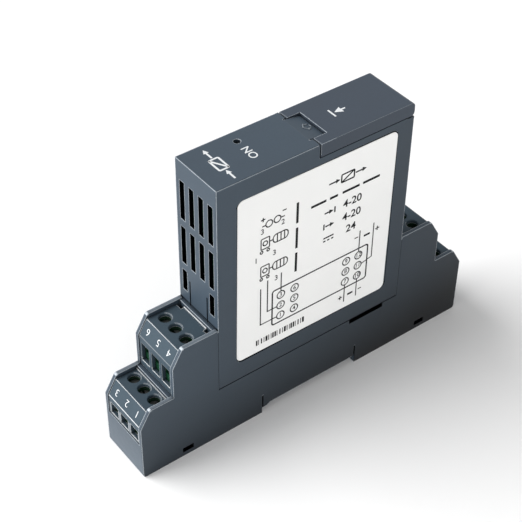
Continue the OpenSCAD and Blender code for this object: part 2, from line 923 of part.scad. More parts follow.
module terminal_cover(row) {
    notch_x = 2.4;
    notch_y = 1.2;
    plate = row_plate(row);
    cover_x = inner_x - fit_gap;
    color(cover_colour)
        at_end(row_end(row))
            difference() {
                x_prism(outline(cover_outline(row)), 2 * cover_x);
                for (i = [-1:1]) {
                    translate([i * pole_pitch, row_axis(row), plate - cover_t - cut])
                        cylinder(d = driver_d, h = cover_t + 2 * cut);
                    translate([i * pole_pitch, row_axis(row), plate - driver_rim])
                        cylinder(d1 = driver_d, d2 = driver_d + 4 * driver_rim, h = 2 * driver_rim);
                    box_between(
                        [i * pole_pitch - window_w / 2, row_front(row) - cut, row_sill(row)],
                        [i * pole_pitch + window_w / 2, row_face(row), row_board(row) + window_top]
                    );
                }
                if (!row_is_low(row))
                    both_sides()
                        box_between(
                            [cover_x - notch_x, row_back(row) - cut, plate - cover_t - cut],
                            [cover_x + cut, row_back(row) + notch_y, plate + 2 * cover_bead]
                        );
            }
}

// Block with three chambers, open below, drawn at the far end
module terminal_block(row) {
    board = row_board(row);
    top = board + block_h;
    front = row_front(row);
    lip_z = board - block_lip_h;
    skin_in = slope_skin + 2 * fit_gap;
    color(terminal_colour)
        at_end(row_end(row))
            difference() {
                x_prism(
                    [
                        [front, lip_z],
                        [front, slope_foot(row, skin_in - cover_t - fit_gap)],
                        [slope_y(row, top) - skin_in, top],
                        [front - block_l, top],
                        [front - block_l, board],
                        [front - block_lip_t, board],
                        [front - block_lip_t, lip_z]
                    ],
                    poles_in_row * pole_pitch
                );
                for (i = [-1:1])
                    translate([i * pole_pitch, row_axis(row), board])
                        block_chamber(front - row_axis(row));
            }
}

module block_chamber(front) {
    box_between([-chamber_w / 2, -chamber_back, -cut], [chamber_w / 2, chamber_front, guide_ledge_z]);
    box_between([-entry_w / 2, 0, entry_z], [entry_w / 2, front + cut, entry_top]);
    cylinder(d = screw_d + 4 * screw_gap, h = block_h);
    translate([0, 0, head_z - screw_gap])
        cylinder(d = head_d + 4 * screw_gap, h = block_h);
}

// Bent strips that stand on the board and reach through the clamps
module terminal_contacts(row) {
    back = -chamber_back + slide_gap;
    color(contact_colour)
        at_end(row_end(row))
            for (i = [-1:1])
                translate([i * pole_pitch, row_axis(row), row_board(row)])
                    x_prism(
                        [
                            [back, 0],
                            [back, bar_top],
                            [clamp_l / 2, bar_top],
                            [clamp_l / 2, bar_z],
                            [back + contact_t, bar_z],
                            [back + contact_t, 0]
                        ],
                        contact_w
                    );
}

// Places a piece of one pole on its screw axis, at the height of its board
module at_pole(pole) {
    row = pole_row(pole);
    translate([pole_x(pole), row_end(row) * row_axis(row), row_board(row)])
        children();
}

module clamp_screw(pole) {
    slot_turn = 35 + 65 * pole;
    shank_z = bar_top + bead;
    color(steel_colour)
        at_pole(pole)
            difference() {
                union() {
                    translate([0, 0, shank_z])
                        cylinder(d = screw_d, h = head_z - shank_z + cut);
                    translate([0, 0, head_z])
                        cylinder(d = head_d, h = head_h);
                }
                rotate([0, 0, slot_turn])
                    translate([-head_d, -slot_w / 2, head_z + head_h - slot_depth])
                        cube([2 * head_d, slot_w, head_h]);
            }
}

module wire_clamp(pole) {
    way_x = clamp_w / 2 - clamp_side;
    color(steel_colour)
        at_pole(pole)
            translate([0, 0, clamp_rest])
                difference() {
                    box_between([-clamp_w / 2, -clamp_l / 2, 0], [clamp_w / 2, clamp_l / 2, clamp_h]);
                    box_between([-way_x, -clamp_l, clamp_floor], [way_x, clamp_l, clamp_h - clamp_top]);
                    translate([0, 0, clamp_h - clamp_top - cut])
                        cylinder(d = screw_d + 2 * screw_gap, h = clamp_top + 2 * cut);
                }
}

module base_board() {
    color(board_colour)
        box_between([-board_x, -low_board_y, low_board_z - board_t], [board_x, low_board_y, low_board_z]);
}

module main_board() {
    color(board_colour)
        box_between([main_back, -main_y, main_z], [main_face, main_y, main_top]);
}

module riser_board(end) {
    color(board_colour)
        at_end(end)
            box_between([-board_x, riser_in, riser_z], [board_x, riser_out, up_board_z]);
}

// Socket on the base board that holds the lower edge of the main board
module board_socket() {
    color(black_colour)
        difference() {
            box_between(
                [main_back - fit_gap - socket_wall, -socket_l / 2, low_board_z],
                [main_face + fit_gap + socket_wall, socket_l / 2, low_board_z + socket_h]
            );
            box_between(
                [main_back - fit_gap, -socket_l, main_z],
                [main_face + fit_gap, socket_l, low_board_z + socket_h + cut]
            );
        }
}

// Strip and pins that carry the signals of the upper tier down to the base board
module riser_pins(end) {
    color(steel_colour)
        at_end(end)
            translate([0, riser_pin_y, low_board_z]) {
                translate([0, 0, pin_pitch / 2])
                    cube([poles_in_row * pin_pitch, pin_pitch, pin_pitch], center = true);
                for (i = [-1:1])
                    translate([i * pin_pitch - pin_w / 2, -pin_w / 2, 0])
                        cube([pin_w, pin_w, riser_z - low_board_z]);
            }
}

// Core with two windows round its middle leg
module transformer_core() {
    window_y = (core_w - core_leg) / 4;
    color(ferrite_colour)
        translate([main_face + core_stand, core_y, core_z])
            difference() {
                box_between([0, -core_w / 2, -core_h / 2], [core_t, core_w / 2, core_h / 2]);
                both_ends()
                    box_between(
                        [-cut, core_leg / 2, core_edge - core_h / 2],
                        [core_t + cut, core_leg / 2 + window_y, core_h / 2 - core_edge]
                    );
            }
}

// Coil on a former, wound round the core's middle leg
module transformer_coil() {
    coil_y = core_leg / 2 + (core_w - core_leg) / 4 - fit_gap;
    coil_z = core_h / 2 - core_edge - fit_gap;
    color(coil_colour)
        translate([main_face, core_y, core_z])
            difference() {
                box_between([0, -coil_y, -coil_z], [core_t + 2 * core_stand, coil_y, coil_z]);
                box_between(
                    [core_stand - fit_gap, -core_leg / 2 - fit_gap, -core_h],
                    [core_stand + core_t + fit_gap, core_leg / 2 + fit_gap, core_h]
                );
            }
}

module filter_capacitor() {
    color(black_colour)
        x_cylinder(main_face, main_face + capacitor_h, capacitor_y, core_z, capacitor_d);
}

// Chips on the back of the main board
module isolation_chips() {
    color(black_colour)
        for (i = [-1:1])
            translate([main_back - chip_t, -chip_l / 2, core_z + i * chip_pitch - chip_h / 2])
                cube([chip_t, chip_l, chip_h]);
}

// Light on the upper edge of the main board: collar, body and domed lens
module status_light() {
    collar_h = 1;
    dome_z = light_top - main_top - light_d / 2;
    color(light_colour)
        translate([light_x, -light_y, main_top]) {
            cylinder(d = light_d + 2 * fit_gap, h = collar_h);
            cylinder(d = light_d, h = dome_z);
            translate([0, 0, dome_z])
                sphere(d = light_d);
        }
}

// Trimmers under the window in the deck, with their rotors sunk in their tops
function trimmer_place(side) = trimmer_y + side * trimmer_pitch / 2;

module trimmer(side) {
    y = trimmer_place(side);
    color(trimmer_colour)
        difference() {
            box_between(
                [main_face, y - trimmer_w / 2, trimmer_top - trimmer_h],
                [main_face + trimmer_d, y + trimmer_w / 2, trimmer_top]
            );
            translate([rotor_x, y, trimmer_top - rotor_sink])
                cylinder(d = rotor_d + 2 * screw_gap, h = rotor_sink + cut);
        }
}

module trimmer_rotor(side) {
    rotor_h = rotor_sink + rotor_rise - bead;
    color(contact_colour)
        translate([rotor_x, trimmer_place(side), trimmer_top - rotor_sink + bead])
            difference() {
                cylinder(d = rotor_d, h = rotor_h);
                translate([-rotor_d, -slot_w / 2, rotor_h - slot_depth])
                    cube([2 * rotor_d, slot_w, rotor_h]);
            }
}

base_housing();
tower_housing();
flip_lid();
side_label();
base_board();
main_board();
riser_board(-1);  // near_riser_board
riser_board(1);  // far_riser_board
board_socket();
riser_pins(-1);  // near_riser_pins
riser_pins(1);  // far_riser_pins
transformer_core();
transformer_coil();
filter_capacitor();
isolation_chips();
status_light();
trimmer(-1);  // zero_trimmer
trimmer(1);  // span_trimmer
trimmer_rotor(-1);  // zero_rotor
trimmer_rotor(1);  // span_rotor
rail_latch();
latch_spring();
for (row = [0:3]) {
    terminal_cover(row);
    terminal_block(row);
    terminal_contacts(row);
}
for (pole = POLES) {
    clamp_screw(pole);
    wire_clamp(pole);
}
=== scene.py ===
"""Looks of a slim rail-mounted signal isolator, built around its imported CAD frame.

Sizes are in millimetres unless a name says otherwise, and MM turns them into Blender's metres.
"""
import json
import math

import bmesh
import bpy
from mathutils import Matrix, Vector


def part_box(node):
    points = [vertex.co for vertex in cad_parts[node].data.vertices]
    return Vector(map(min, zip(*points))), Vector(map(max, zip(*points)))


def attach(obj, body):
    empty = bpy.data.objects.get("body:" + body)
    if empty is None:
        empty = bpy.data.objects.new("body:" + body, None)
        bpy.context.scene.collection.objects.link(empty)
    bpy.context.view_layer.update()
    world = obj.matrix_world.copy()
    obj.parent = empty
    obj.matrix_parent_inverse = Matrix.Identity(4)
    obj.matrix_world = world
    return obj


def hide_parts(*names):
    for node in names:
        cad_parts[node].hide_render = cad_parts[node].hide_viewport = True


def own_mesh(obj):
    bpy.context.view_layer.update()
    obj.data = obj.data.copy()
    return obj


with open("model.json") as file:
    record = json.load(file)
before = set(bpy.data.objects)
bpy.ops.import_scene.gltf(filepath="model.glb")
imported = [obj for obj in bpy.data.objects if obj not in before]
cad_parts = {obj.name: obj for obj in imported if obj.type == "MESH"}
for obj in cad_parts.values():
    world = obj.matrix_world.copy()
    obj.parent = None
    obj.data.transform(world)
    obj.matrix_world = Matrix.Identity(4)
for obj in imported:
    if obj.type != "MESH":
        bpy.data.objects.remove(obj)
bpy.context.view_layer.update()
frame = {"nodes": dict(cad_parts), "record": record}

MM = 0.001
X, Y, Z = Vector((1, 0, 0)), Vector((0, 1, 0)), Vector((0, 0, 1))


def corners_of(node):
    """Lowest and highest corner of a CAD node's box, in millimetres."""
    return [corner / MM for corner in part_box(node)]


# Photograph's camera: it looks down on the labelled side and on the near end
VIEW_AZIMUTH, VIEW_ELEVATION, VIEW_ROLL = 52.616, 41.337, 0.693
VIEW_TARGET = Vector((0, -11.765, 50.004)) * MM
VIEW_DISTANCE = 372.83 * MM
VIEW_LENS, VIEW_SENSOR = 93.16, 36.0
# Nearest and farthest that it sees, in metres
VIEW_FROM, VIEW_TO = 0.01, 20.0

# Boxes of the housing, the lid and the label, and of a near cover and a near screw in both tiers
BASE_LOW, BASE_HIGH = corners_of("base_housing")
LID_LOW, LID_HIGH = corners_of("flip_lid")
LABEL_LOW, LABEL_HIGH = corners_of("side_label")
COVERS = [corners_of(f"terminal_cover_{row}") for row in ("1_3", "4_6")]
SCREWS = [corners_of(f"clamp_screw_{pole}") for pole in (1, 4)]

# Slopes of the covers, which carry the pole numbers. They start at the level of the plates, under the
# rims, and the bead behind each plate stands above it
SLOPE_RUN, SLOPE_DROP, PLATE_DROP, BEAD_H = 3.4, 5.9, 1.3, 0.3
SLOPE_H = SLOPE_DROP - PLATE_DROP
# Fronts and plates of the covers in the lower and the upper tier
COVER_FRONTS = [-low.y for low, _ in COVERS]
PLATES = [high.z - BEAD_H for _, high in COVERS]
# Screwdriver holes: distance from the middle and height of the plates, half their width, and reach in height
HOLE_ROWS = [(-(low.y + high.y) / 2, plate) for (low, high), plate in zip(SCREWS, PLATES)]
HOLE_REACH, PLATE_REACH = 2.25, 0.5
# Backs of the holes' rims, which lie this much nearer to the middle, and half their width
BACK_SET, BACK_REACH = 1.8, 0.9
HOLE_BACKS = [(out - BACK_SET, plate) for out, plate in HOLE_ROWS]
# Windows in the covers' fronts, this far below the plates, and half the depth and height of their frames
WINDOW_DROP, FRAME_DEPTH, WINDOW_REACH = 9.2, 1.2, 3.3
WINDOW_ROWS = [(front, plate - WINDOW_DROP) for front, plate in zip(COVER_FRONTS, PLATES)]
# Posts between the lower windows: how far below the plates they end, their reach, and how pale their painted
# light makes them
POST_DROP, POST_REACH, POST_SHADE = 7.2, 0.12, 0.17
# Half the width of the painted highlight at the foot of a slope
SLOPE_EDGE = 0.14
# How much of the painted highlight the holes' backs keep and the window frames of both tiers are spared
BACK_HIGHLIGHT, LOW_FRAME_SPARED, HIGH_FRAME_SPARED = 0.35, 0.15, 0.75
# How much painted highlight the lower beads and the feet of the slopes in both tiers take
LOW_BEAD_HIGHLIGHT, LOW_EDGE_HIGHLIGHT, HIGH_EDGE_HIGHLIGHT = 0.5, 0.7, 0.16

# Ends of the tower, rims of the upper tier, and the level seam between tower and base
TOWER_Y, TIER_Z = LID_HIGH.y, BASE_HIGH.z
SEAM_Z, SEAM_REACH, SEAM_DEPTH = 19.6, 0.7, 2.0
# Corners of the rims above the slopes in both tiers. The covers are set back a little from the rims' ends
COVER_SET, RIM_REACH, SIDE_WALL_X = 0.3, 0.42, 7.75
RIM_CORNERS = [
    (front + COVER_SET - SLOPE_RUN, plate + PLATE_DROP) for front, plate in zip(COVER_FRONTS, PLATES)
]
# Half the lengths of the flat tops of the near rims in both tiers, and how pale their painted light makes
# them
RIM_HALF, RIM_SHADE = (3.8, 5.7), 0.22
# How near to a flat face a point counts as on it
FLAT_REACH = 0.105
# Painted reflection makes the face of the near end paler towards its foot
# Height below which the photograph shows the face of the near end paler, and how pale it is at its foot
FACE_TOP, FACE_SHADE = 26.0, 0.13
# Outer faces of the sides, less a thin skin
SKIN_T = 0.1
SIDE_FACE_X = BASE_HIGH.x - SKIN_T
# Cuts painted black inside as shade, by their middle and half their reach along Y and the same along Z: the
# vents, the slots under the seam and those in the foot, and a painted shadow line between the tower's ends
# and the upper tiers
FOOT_SLOT_Y, LINE_RISE = 43.8, 0.15
VENT_CUT, SEAM_CUT = (32.15, 0.6, 64.0, 20.0), (20.95, 6.5, 18.65, 1.0)
FOOT_CUT, LINE_CUT = (FOOT_SLOT_Y, 1.9, 2.3, 0.95), (TOWER_Y, 0.2, TIER_Z + LINE_RISE, 0.2)
# Slots in the foot and slits above the rail's hooks: distance from the middle, half their length, and top
FOOT_EDGES = ((FOOT_SLOT_Y, 2.5, 4.0), (17.35, 0.9, 7.2))
# Shade of the sides in the photograph: the height below which they are darker, and how dark the foot is
SIDE_TOP, SIDE_DARK = 95.0, 0.4
# The same for a strip along the foot of the labelled side
FOOT_TOP, FOOT_DARK = 28.0, 0.42
# Where the labelled side grows darker towards the far end, and by how much for each millimetre
END_FROM, END_DARK = -14.0, 0.0048
# Label's recess: its floor and middle, half its length and height, and the reach of its edges and corners
RECESS_X, RECESS_MIDDLE, RECESS_HALF = LABEL_LOW.x, (LABEL_LOW + LABEL_HIGH) / 2, (27.15, 28.75)
RECESS_REACH, RECESS_R, RECESS_FLOOR = 0.5, 2.2, 0.05
# Slits beside the snap fingers in the tower's ends
FINGER_X, FINGER_TOP, SLIT_REACH = 4.0, 50.7, 0.6
# Foot and front of the lid, depth of its notch, and reach of their edges
LID_FOOT, LID_FRONT, LID_NOTCH, LID_REACH = LID_LOW.z, LID_LOW.y, 4.4, 0.6
# How much painted highlight the lid's edges take, and how much more round the notch
LID_HIGHLIGHT, NOTCH_HIGHLIGHT = 0.5, 0.9

# Printed marks: thickness of the ink, how far it is sunk, and line widths
INK_T, INK_SUNK = 0.03, 0.005
LINE_W, FINE_W, BAR_W = 0.48, 0.36, 0.8
# Height of a numeral as a share of its letter size, and how far a line's corner may be mitred
CAP_SHARE, MITRE_LIMIT = 0.69, 0.35


def srgb(red, green, blue):
    """A colour as seen on a screen, 0 to 255, as the linear values that shaders take."""
    parts = [part / 255 for part in (red, green, blue)]
    return (*(p / 12.92 if p <= 0.04045 else ((p + 0.055) / 1.055) ** 2.4 for p in parts), 1.0)


class Wire:
    """A node's output that Python's operators can work on."""

    def __init__(self, finish, socket):
        self.finish = finish
        self.socket = socket

    def maths(self, operation, first, second):
        """Adds one Math node."""
        return self.finish.node("ShaderNodeMath", {"operation": operation}, {0: first, 1: second})

    def __add__(self, other):
        return self.maths("ADD", self, other)

    __radd__ = __add__

    def __sub__(self, other):
        return self.maths("SUBTRACT", self, other)

    def __rsub__(self, other):
        return self.maths("SUBTRACT", other, self)

    def __mul__(self, other):
        return self.maths("MULTIPLY", self, other)

    __rmul__ = __mul__

    def __gt__(self, other):
        return self.maths("GREATER_THAN", self, other)

    def __lt__(self, other):
        return self.maths("LESS_THAN", self, other)

    def __or__(self, other):
        return self.maths("MAXIMUM", self, other)

    def __and__(self, other):
        return self.maths("MINIMUM", self, other)

    def __abs__(self):
        return self.maths("ABSOLUTE", self, 0.0)


# How open to the light an edge has to be to take the painted highlight
EDGE_OPEN = 0.75


class Finish:
    """A material, or the world, and its nodes."""

    def __init__(self, name, owner=None):
        self.owner = owner or bpy.data.materials.new(name)
        self.owner.use_nodes = True
        self.tree = self.owner.node_tree
        self.tree.nodes.clear()

    def node(self, kind, settings=None, sockets=None, output=0):
        """Adds one node: its settings come first, then the values or links of its sockets."""
        made = self.tree.nodes.new(kind)
        for key, value in (settings or {}).items():
            setattr(made, key, value)
        for key, value in (sockets or {}).items():
            if isinstance(value, Wire):
                self.tree.links.new(value.socket, made.inputs[key])
            else:
                made.inputs[key].default_value = value
        return Wire(self, made.outputs[output]) if made.outputs else None

    def place(self, stretch=(1, 1, 1)):
        """The point on the object, in metres, with each direction stretched."""
        spot = self.node("ShaderNodeTexCoord", output="Object")
        if stretch == (1, 1, 1):
            return spot
        return self.node("ShaderNodeVectorMath", {"operation": "MULTIPLY"}, {0: spot, 1: stretch})

    def noise(self, size, detail=2.0, stretch=(1, 1, 1)):
        """Cloudy noise from 0 to 1 whose patches are about size millimetres across."""
        sockets = {"Vector": self.place(stretch), "Scale": 1 / (size * MM), "Detail": detail}
        return self.node("ShaderNodeTexNoise", {}, sockets)

    def cells(self, size):
        """Distance from the nearest of scattered points about size millimetres apart, 0 to 1."""
        return self.node("ShaderNodeTexVoronoi", {}, {"Vector": self.place(), "Scale": 1 / (size * MM)})

    def rings(self, size, direction):
        """Bands across one direction, size millimetres apart."""
        return self.node(
            "ShaderNodeTexWave",
            {"wave_type": "BANDS", "bands_direction": direction},
            {"Vector": self.place(), "Scale": math.pi / (10 * size * MM), "Distortion": 0.0},
            output="Fac",
        )

    def blend(self, factor, first, second):
        """A colour between two, by a factor from 0 to 1."""
        return self.node("ShaderNodeMix", {"data_type": "RGBA"}, {0: factor, 6: first, 7: second}, output=2)

    def spot(self):
        """The point's X, Y and Z, in metres."""
        place = self.place()
        return [self.node("ShaderNodeSeparateXYZ", {}, {"Vector": place}, output=axis) for axis in "XYZ"]

    def rounding(self, radius, gain):
        """Normal that turns over a radius at each edge, and how far a point is on an outer edge, 0 to 1."""
        rounded = self.node("ShaderNodeBevel", {"samples": 6}, {"Radius": radius * MM})
        face = self.node("ShaderNodeNewGeometry", output="Normal")
        dot = {"operation": "DOT_PRODUCT"}
        along = self.node("ShaderNodeVectorMath", dot, {0: rounded, 1: face}, output="Value")
        return rounded, ((1 - along) * gain & 1) * (self.openness(3 * radius) > EDGE_OPEN)

    def openness(self, reach, alone=False):
        """1 on open faces, and less where other faces, or its own alone, stand within reach millimetres."""
        settings = {"samples": 6, "only_local": alone}
        return self.node("ShaderNodeAmbientOcclusion", settings, {"Distance": reach * MM}, output="AO")

    def relief(self, height, depth, rounded=None):
        """Normal of a surface that stands out by depth millimetres where height is 1."""
        sockets = {"Height": height, "Distance": depth * MM, "Strength": 1.0}
        if rounded:
            sockets["Normal"] = rounded
        return self.node("ShaderNodeBump", {}, sockets)

    def surface(self, shader):
        """Ends the material in a shader."""
        self.node("ShaderNodeOutputMaterial", {}, {"Surface": shader})
        return self.owner

    def body(self, colour, roughness, **sockets):
        """Ends the material in one main shader."""
        values = {"Base Color": colour, "Roughness": roughness}
        values.update({key.replace("_", " "): value for key, value in sockets.items()})
        return self.surface(self.node("ShaderNodeBsdfPrincipled", {}, values))


def shade(colour, factor):
    """A colour made lighter or darker."""
    return (*(min(1.0, part * factor) for part in colour[:3]), 1.0)


# Sizes of a moulding's grain, of the finest part of it, and of its flow clouds, flow streaks and mottling
GRAIN, FINE_GRAIN, FLOW_CLOUD, FLOW_STREAK, MOTTLE = 0.28, 0.12, 14.0, 5.0, 0.7
STREAK_STRETCH = (1, 0.35, 1)
# Shades of its colour where the flow is dark or pale and in the grain, and of its painted shade on the sides,
# in crevices and inside
DARK_FLOW, PALE_FLOW, DARK_GRAIN = 0.78, 1.22, 0.72
SHADE_TINT, CREVICE_TINT, INSIDE_TINT = 0.06, 0.12, 0.02
# Size of the patches in which its edges take more or less painted highlight, and how much smoother those
# edges are
HIGHLIGHT_PATCH, HIGHLIGHT_POLISH = 1.8, 0.12
# How dark its painted shade in crevices is, below which openness it counts as inside, and how soon its
# painted shade is black there
CREVICE, INSIDE_FROM, INSIDE_GAIN = 0.85, 0.62, 4.0
# Height below which the floor, and not the part, would darken a face
FLOOR_REACH = 1.5


def moulded_plastic(
    name,
    colour,
    roughness=0.5,
    grain_depth=0.006,
    specular=0.36,
    edge=None,
    highlights=None,
    darkness=None,
    crevice=1.2,
    inside=None,
):
    """Moulded plastic with the fine grain of a spark-eroded mould, faint flow clouds, painted highlights on
    its edges and painted shade in its crevices.

    edge is the colour of the edges' painted highlight, the radius that they are rounded to and how soon they
    take it.
    wear gives how much painted highlight and painted light each place takes, and darkness how much painted
    shade.
    crevice is how wide a gap still takes painted shade. inside is how far apart walls shut out the light, and
    what gives the walls of cuts; both are painted black as shade.
    """
    finish = Finish(name)
    grain = finish.cells(GRAIN)
    fine = finish.noise(FINE_GRAIN, 3.0)
    cloud = finish.noise(FLOW_CLOUD, 3.0)
    streak = finish.noise(FLOW_STREAK, 2.0, STREAK_STRETCH)
    mottle = finish.noise(MOTTLE, 4.0)
    flow = 0.4 * cloud + 0.25 * streak + 0.35 * mottle
    tint = finish.blend(flow, shade(colour, DARK_FLOW), shade(colour, PALE_FLOW))
    tint = finish.blend(0.18 * grain, tint, shade(colour, DARK_GRAIN))
    # Painted shade, as much as darkness gives
    if darkness:
        tint = finish.blend(darkness(finish), tint, shade(colour, SHADE_TINT))
    rough = roughness - 0.05 + 0.1 * cloud + 0.06 * fine
    rounded = None
    # Painted highlight: outer edges are paler and smoother, more in some patches than in others
    if edge:
        pale, radius, gain = edge
        rounded, highlighted = finish.rounding(radius, gain)
        if highlights:
            highlighted = highlights(finish, highlighted)
        highlighted = highlighted * (0.6 + 0.6 * finish.noise(HIGHLIGHT_PATCH, 3.0)) & 1
        tint = finish.blend(highlighted, tint, pale)
        rough = rough - HIGHLIGHT_POLISH * highlighted
    # Painted shade in crevices, left off where only the floor stands near
    off_floor = finish.spot()[2] > FLOOR_REACH * MM
    hidden = (CREVICE - CREVICE * finish.openness(crevice)) * off_floor
    tint = finish.blend(hidden, tint, shade(colour, CREVICE_TINT))
    sheen = {}
    if inside:
        apart, cuts = inside
        shut = (INSIDE_FROM - finish.openness(apart, True)) * INSIDE_GAIN
        shut = ((shut | 0) & 1) | cuts(finish)
        tint = finish.blend(shut, tint, shade(colour, INSIDE_TINT))
        # Painted shade: insides and the walls of cuts are painted black, and a black metal takes the sheen
        # off these walls too
        sheen["Metallic"] = shut
    return finish.body(
        tint,
        rough,
        Normal=finish.relief(0.7 * grain + 0.3 * fine, grain_depth, rounded),
        Specular_IOR_Level=specular,
        **sheen,
    )


def near(value, place, reach):
    """1 where a length in metres lies within reach of a place, both in millimetres."""
    return abs(value - place * MM) < reach * MM


def near_rows(finish, rows, reach, height):
    """1 within reach and height of the places of the lower and of the upper tier, at both ends."""
    _, y, z = finish.spot()
    return [near(abs(y), out, reach) * near(z, up, height) for out, up in rows]


def housing_highlights(finish, highlighted):
    """Painted highlights on the housings: most at the rims' corners, none at seams, slots, slits and the
    lid's bed.
    """
    x, y, z = finish.spot()
    out = abs(y)
    level = near(z, SEAM_Z - SEAM_DEPTH / 2, SEAM_DEPTH) * (out < (TOWER_Y + SEAM_REACH) * MM)
    upright = near(out, TOWER_Y, SEAM_REACH) * (z < (TIER_Z - SEAM_REACH) * MM)
    fingers = near(abs(x), FINGER_X, SLIT_REACH) * (z > TIER_Z * MM) * (z < (FINGER_TOP + SLIT_REACH) * MM)
    bed_sides = near(z, LID_FOOT, 2 * LID_REACH) * (y > 0)
    bed_front = near(y, LID_FRONT, 1.5 * LID_REACH) * (z > LID_FOOT * MM)
    slot, slit = (near(out, place, reach) * (z < top * MM) for place, reach, top in FOOT_EDGES)
    recess, _ = label_recess(finish)
    spared = level | upright | fingers | bed_sides | bed_front | slot | slit | recess
    # Painted highlights on the rims' corners
    low_corner, high_corner = near_rows(finish, RIM_CORNERS, RIM_REACH, RIM_REACH)
    low_top, high_top = (
        near(z, top, FLAT_REACH) * near(out, corner - half, half)
        for (corner, top), half in zip(RIM_CORNERS, RIM_HALF)
    )
    # Painted light on the flat tops of the near rims
    tops = RIM_SHADE * (low_top | high_top) * (y < 0)
    rims = (low_corner | high_corner | tops) * (abs(x) > SIDE_WALL_X * MM)
    # Painted reflection on the face of the near end, paler towards its foot
    face = (FACE_SHADE - FACE_SHADE / (FACE_TOP * MM) * z) * near(y, BASE_LOW.y, FLAT_REACH)
    return highlighted * (1 - spared) | rims | face


def housing_darkness(finish):
    """Shade of the sides as photographed: it grows to the foot and, on the labelled side, the far end."""
    x, y, z = finish.spot()
    upper = (SIDE_DARK - SIDE_DARK / (SIDE_TOP * MM) * z) | 0
    foot = (FOOT_DARK - FOOT_DARK / (FOOT_TOP * MM) * z) | 0
    end = END_DARK / MM * (y - END_FROM * MM)
    labelled = x > SIDE_FACE_X * MM
    return ((upper + (foot + end) * labelled | 0) & 1) * (abs(x) > SIDE_FACE_X * MM)


def label_recess(finish):
    """1 along the edges of the label's recess, and 1 in the gaps above and below the label, which take
    painted shadow.
    """
    x, y, z = finish.spot()
    out, up = abs(y - RECESS_MIDDLE.y * MM), abs(z - RECESS_MIDDLE.z * MM)
    half_l, half_h = RECESS_HALF
    sides = near(out, half_l, RECESS_REACH) * (up < (half_h + RECESS_REACH) * MM)
    ends = near(up, half_h, RECESS_REACH) * (out < (half_l + RECESS_REACH) * MM)
    edges = (sides | ends) * (x > (RECESS_X - RECESS_REACH) * MM)
    return edges, near(x, RECESS_X, RECESS_FLOOR) * (up > (half_h - RECESS_R) * MM)


def housing_cuts(finish):
    """1 where shade is painted black: the walls of the vents and of the slots in the sides, and the gaps at
    the label.
    """
    x, y, z = finish.spot()
    out = abs(y)
    cuts = ((out, VENT_CUT), (y, SEAM_CUT), (out, FOOT_CUT), (out, LINE_CUT))
    vents, seam, foot, line = (
        near(place, middle_y, reach) * near(z, middle_z, height)
        for place, (middle_y, reach, middle_z, height) in cuts
    )
    _, gaps = label_recess(finish)
    return (vents | seam | foot | line | gaps) * (abs(x) < SIDE_FACE_X * MM)


def lid_highlights(finish, highlighted):
    """Painted highlights on the lid's edges: strong round the notch, weak along the top and none at the foot.
    """
    _, y, z = finish.spot()
    front = y < (LID_FRONT + LID_NOTCH + LID_REACH) * MM
    return highlighted * (LID_HIGHLIGHT + NOTCH_HIGHLIGHT * front) * (z > (LID_FOOT + LID_REACH) * MM)


def cover_highlights(finish, highlighted):
    """Painted highlights on the covers: most on beads and slopes, less round windows, and only at the holes'
    backs.
    """
    _, y, z = finish.spot()
    low_hole, high_hole = near_rows(finish, HOLE_ROWS, HOLE_REACH, PLATE_REACH)
    low_back, high_back = near_rows(finish, HOLE_BACKS, BACK_REACH, PLATE_REACH)
    low_frame, high_frame = near_rows(finish, WINDOW_ROWS, FRAME_DEPTH, WINDOW_REACH)
    holes = (low_hole | high_hole) * (1 - BACK_HIGHLIGHT * (low_back | high_back))
    frames = LOW_FRAME_SPARED * low_frame | HIGH_FRAME_SPARED * high_frame
    low_bead, high_bead = (near(z, plate + BEAD_H, BEAD_H / 2) for plate in PLATES)
    low_edge, high_edge = (near(z, plate - SLOPE_H, SLOPE_EDGE) for plate in PLATES)
    lines = LOW_BEAD_HIGHLIGHT * low_bead | high_bead | LOW_EDGE_HIGHLIGHT * low_edge | HIGH_EDGE_HIGHLIGHT * high_edge
    # Painted light on the posts between the lower windows
    posts = low_frame * near(abs(y), COVER_FRONTS[0], POST_REACH) * (z < (PLATES[0] - POST_DROP) * MM)
    return highlighted * (1 - (holes | frames)) | lines | POST_SHADE * posts


def label_film():
    """White polyester label with a faint paper tooth and a slight gloss."""
    finish = Finish("label_film")
    tooth = finish.noise(0.16, 3.0)
    cloud = finish.noise(22.0, 2.0)
    tint = finish.blend(0.5 * cloud + 0.5 * tooth, srgb(238, 238, 236), srgb(251, 251, 250))
    return finish.body(
        tint, 0.42 + 0.12 * tooth, Normal=finish.relief(tooth, 0.003), Specular_IOR_Level=0.4
    )


def printed_ink(name, colour, thin):
    """Pad-printed ink that lets a little of the ground through in places."""
    finish = Finish(name)
    speck = finish.noise(0.2, 3.0)
    cloud = finish.noise(2.5, 2.0)
    tint = finish.blend(0.5 * speck + 0.5 * cloud, shade(colour, thin), colour)
    return finish.body(
        tint, 0.5 + 0.15 * speck, Normal=finish.relief(speck, 0.002), Specular_IOR_Level=0.15
    )


# Painted shade on metal at the bottom of a hole: how dark it is, its shade there, and how far off the walls
# may be
DEEP_SHADE, DEEP_TINT, DEEP_REACH = 1.0, 0.05, 6.0


def plated_metal(name, colour, roughness, brush=(1, 1, 0.08)):
    """Plated or bare metal with fine drawing marks, dull patches and painted shade at the bottom of holes."""
    finish = Finish(name)
    marks = finish.noise(0.1, 3.0, brush)
    patch = finish.noise(1.6, 3.0)
    tint = finish.blend(patch, shade(colour, 0.82), colour)
    deep = DEEP_SHADE - DEEP_SHADE * finish.openness(DEEP_REACH)
    return finish.body(
        finish.blend(deep, tint, shade(colour, DEEP_TINT)),
        roughness - 0.08 + 0.16 * patch + 0.1 * marks,
        Metallic=1.0,
        Normal=finish.relief(marks, 0.004),
    )


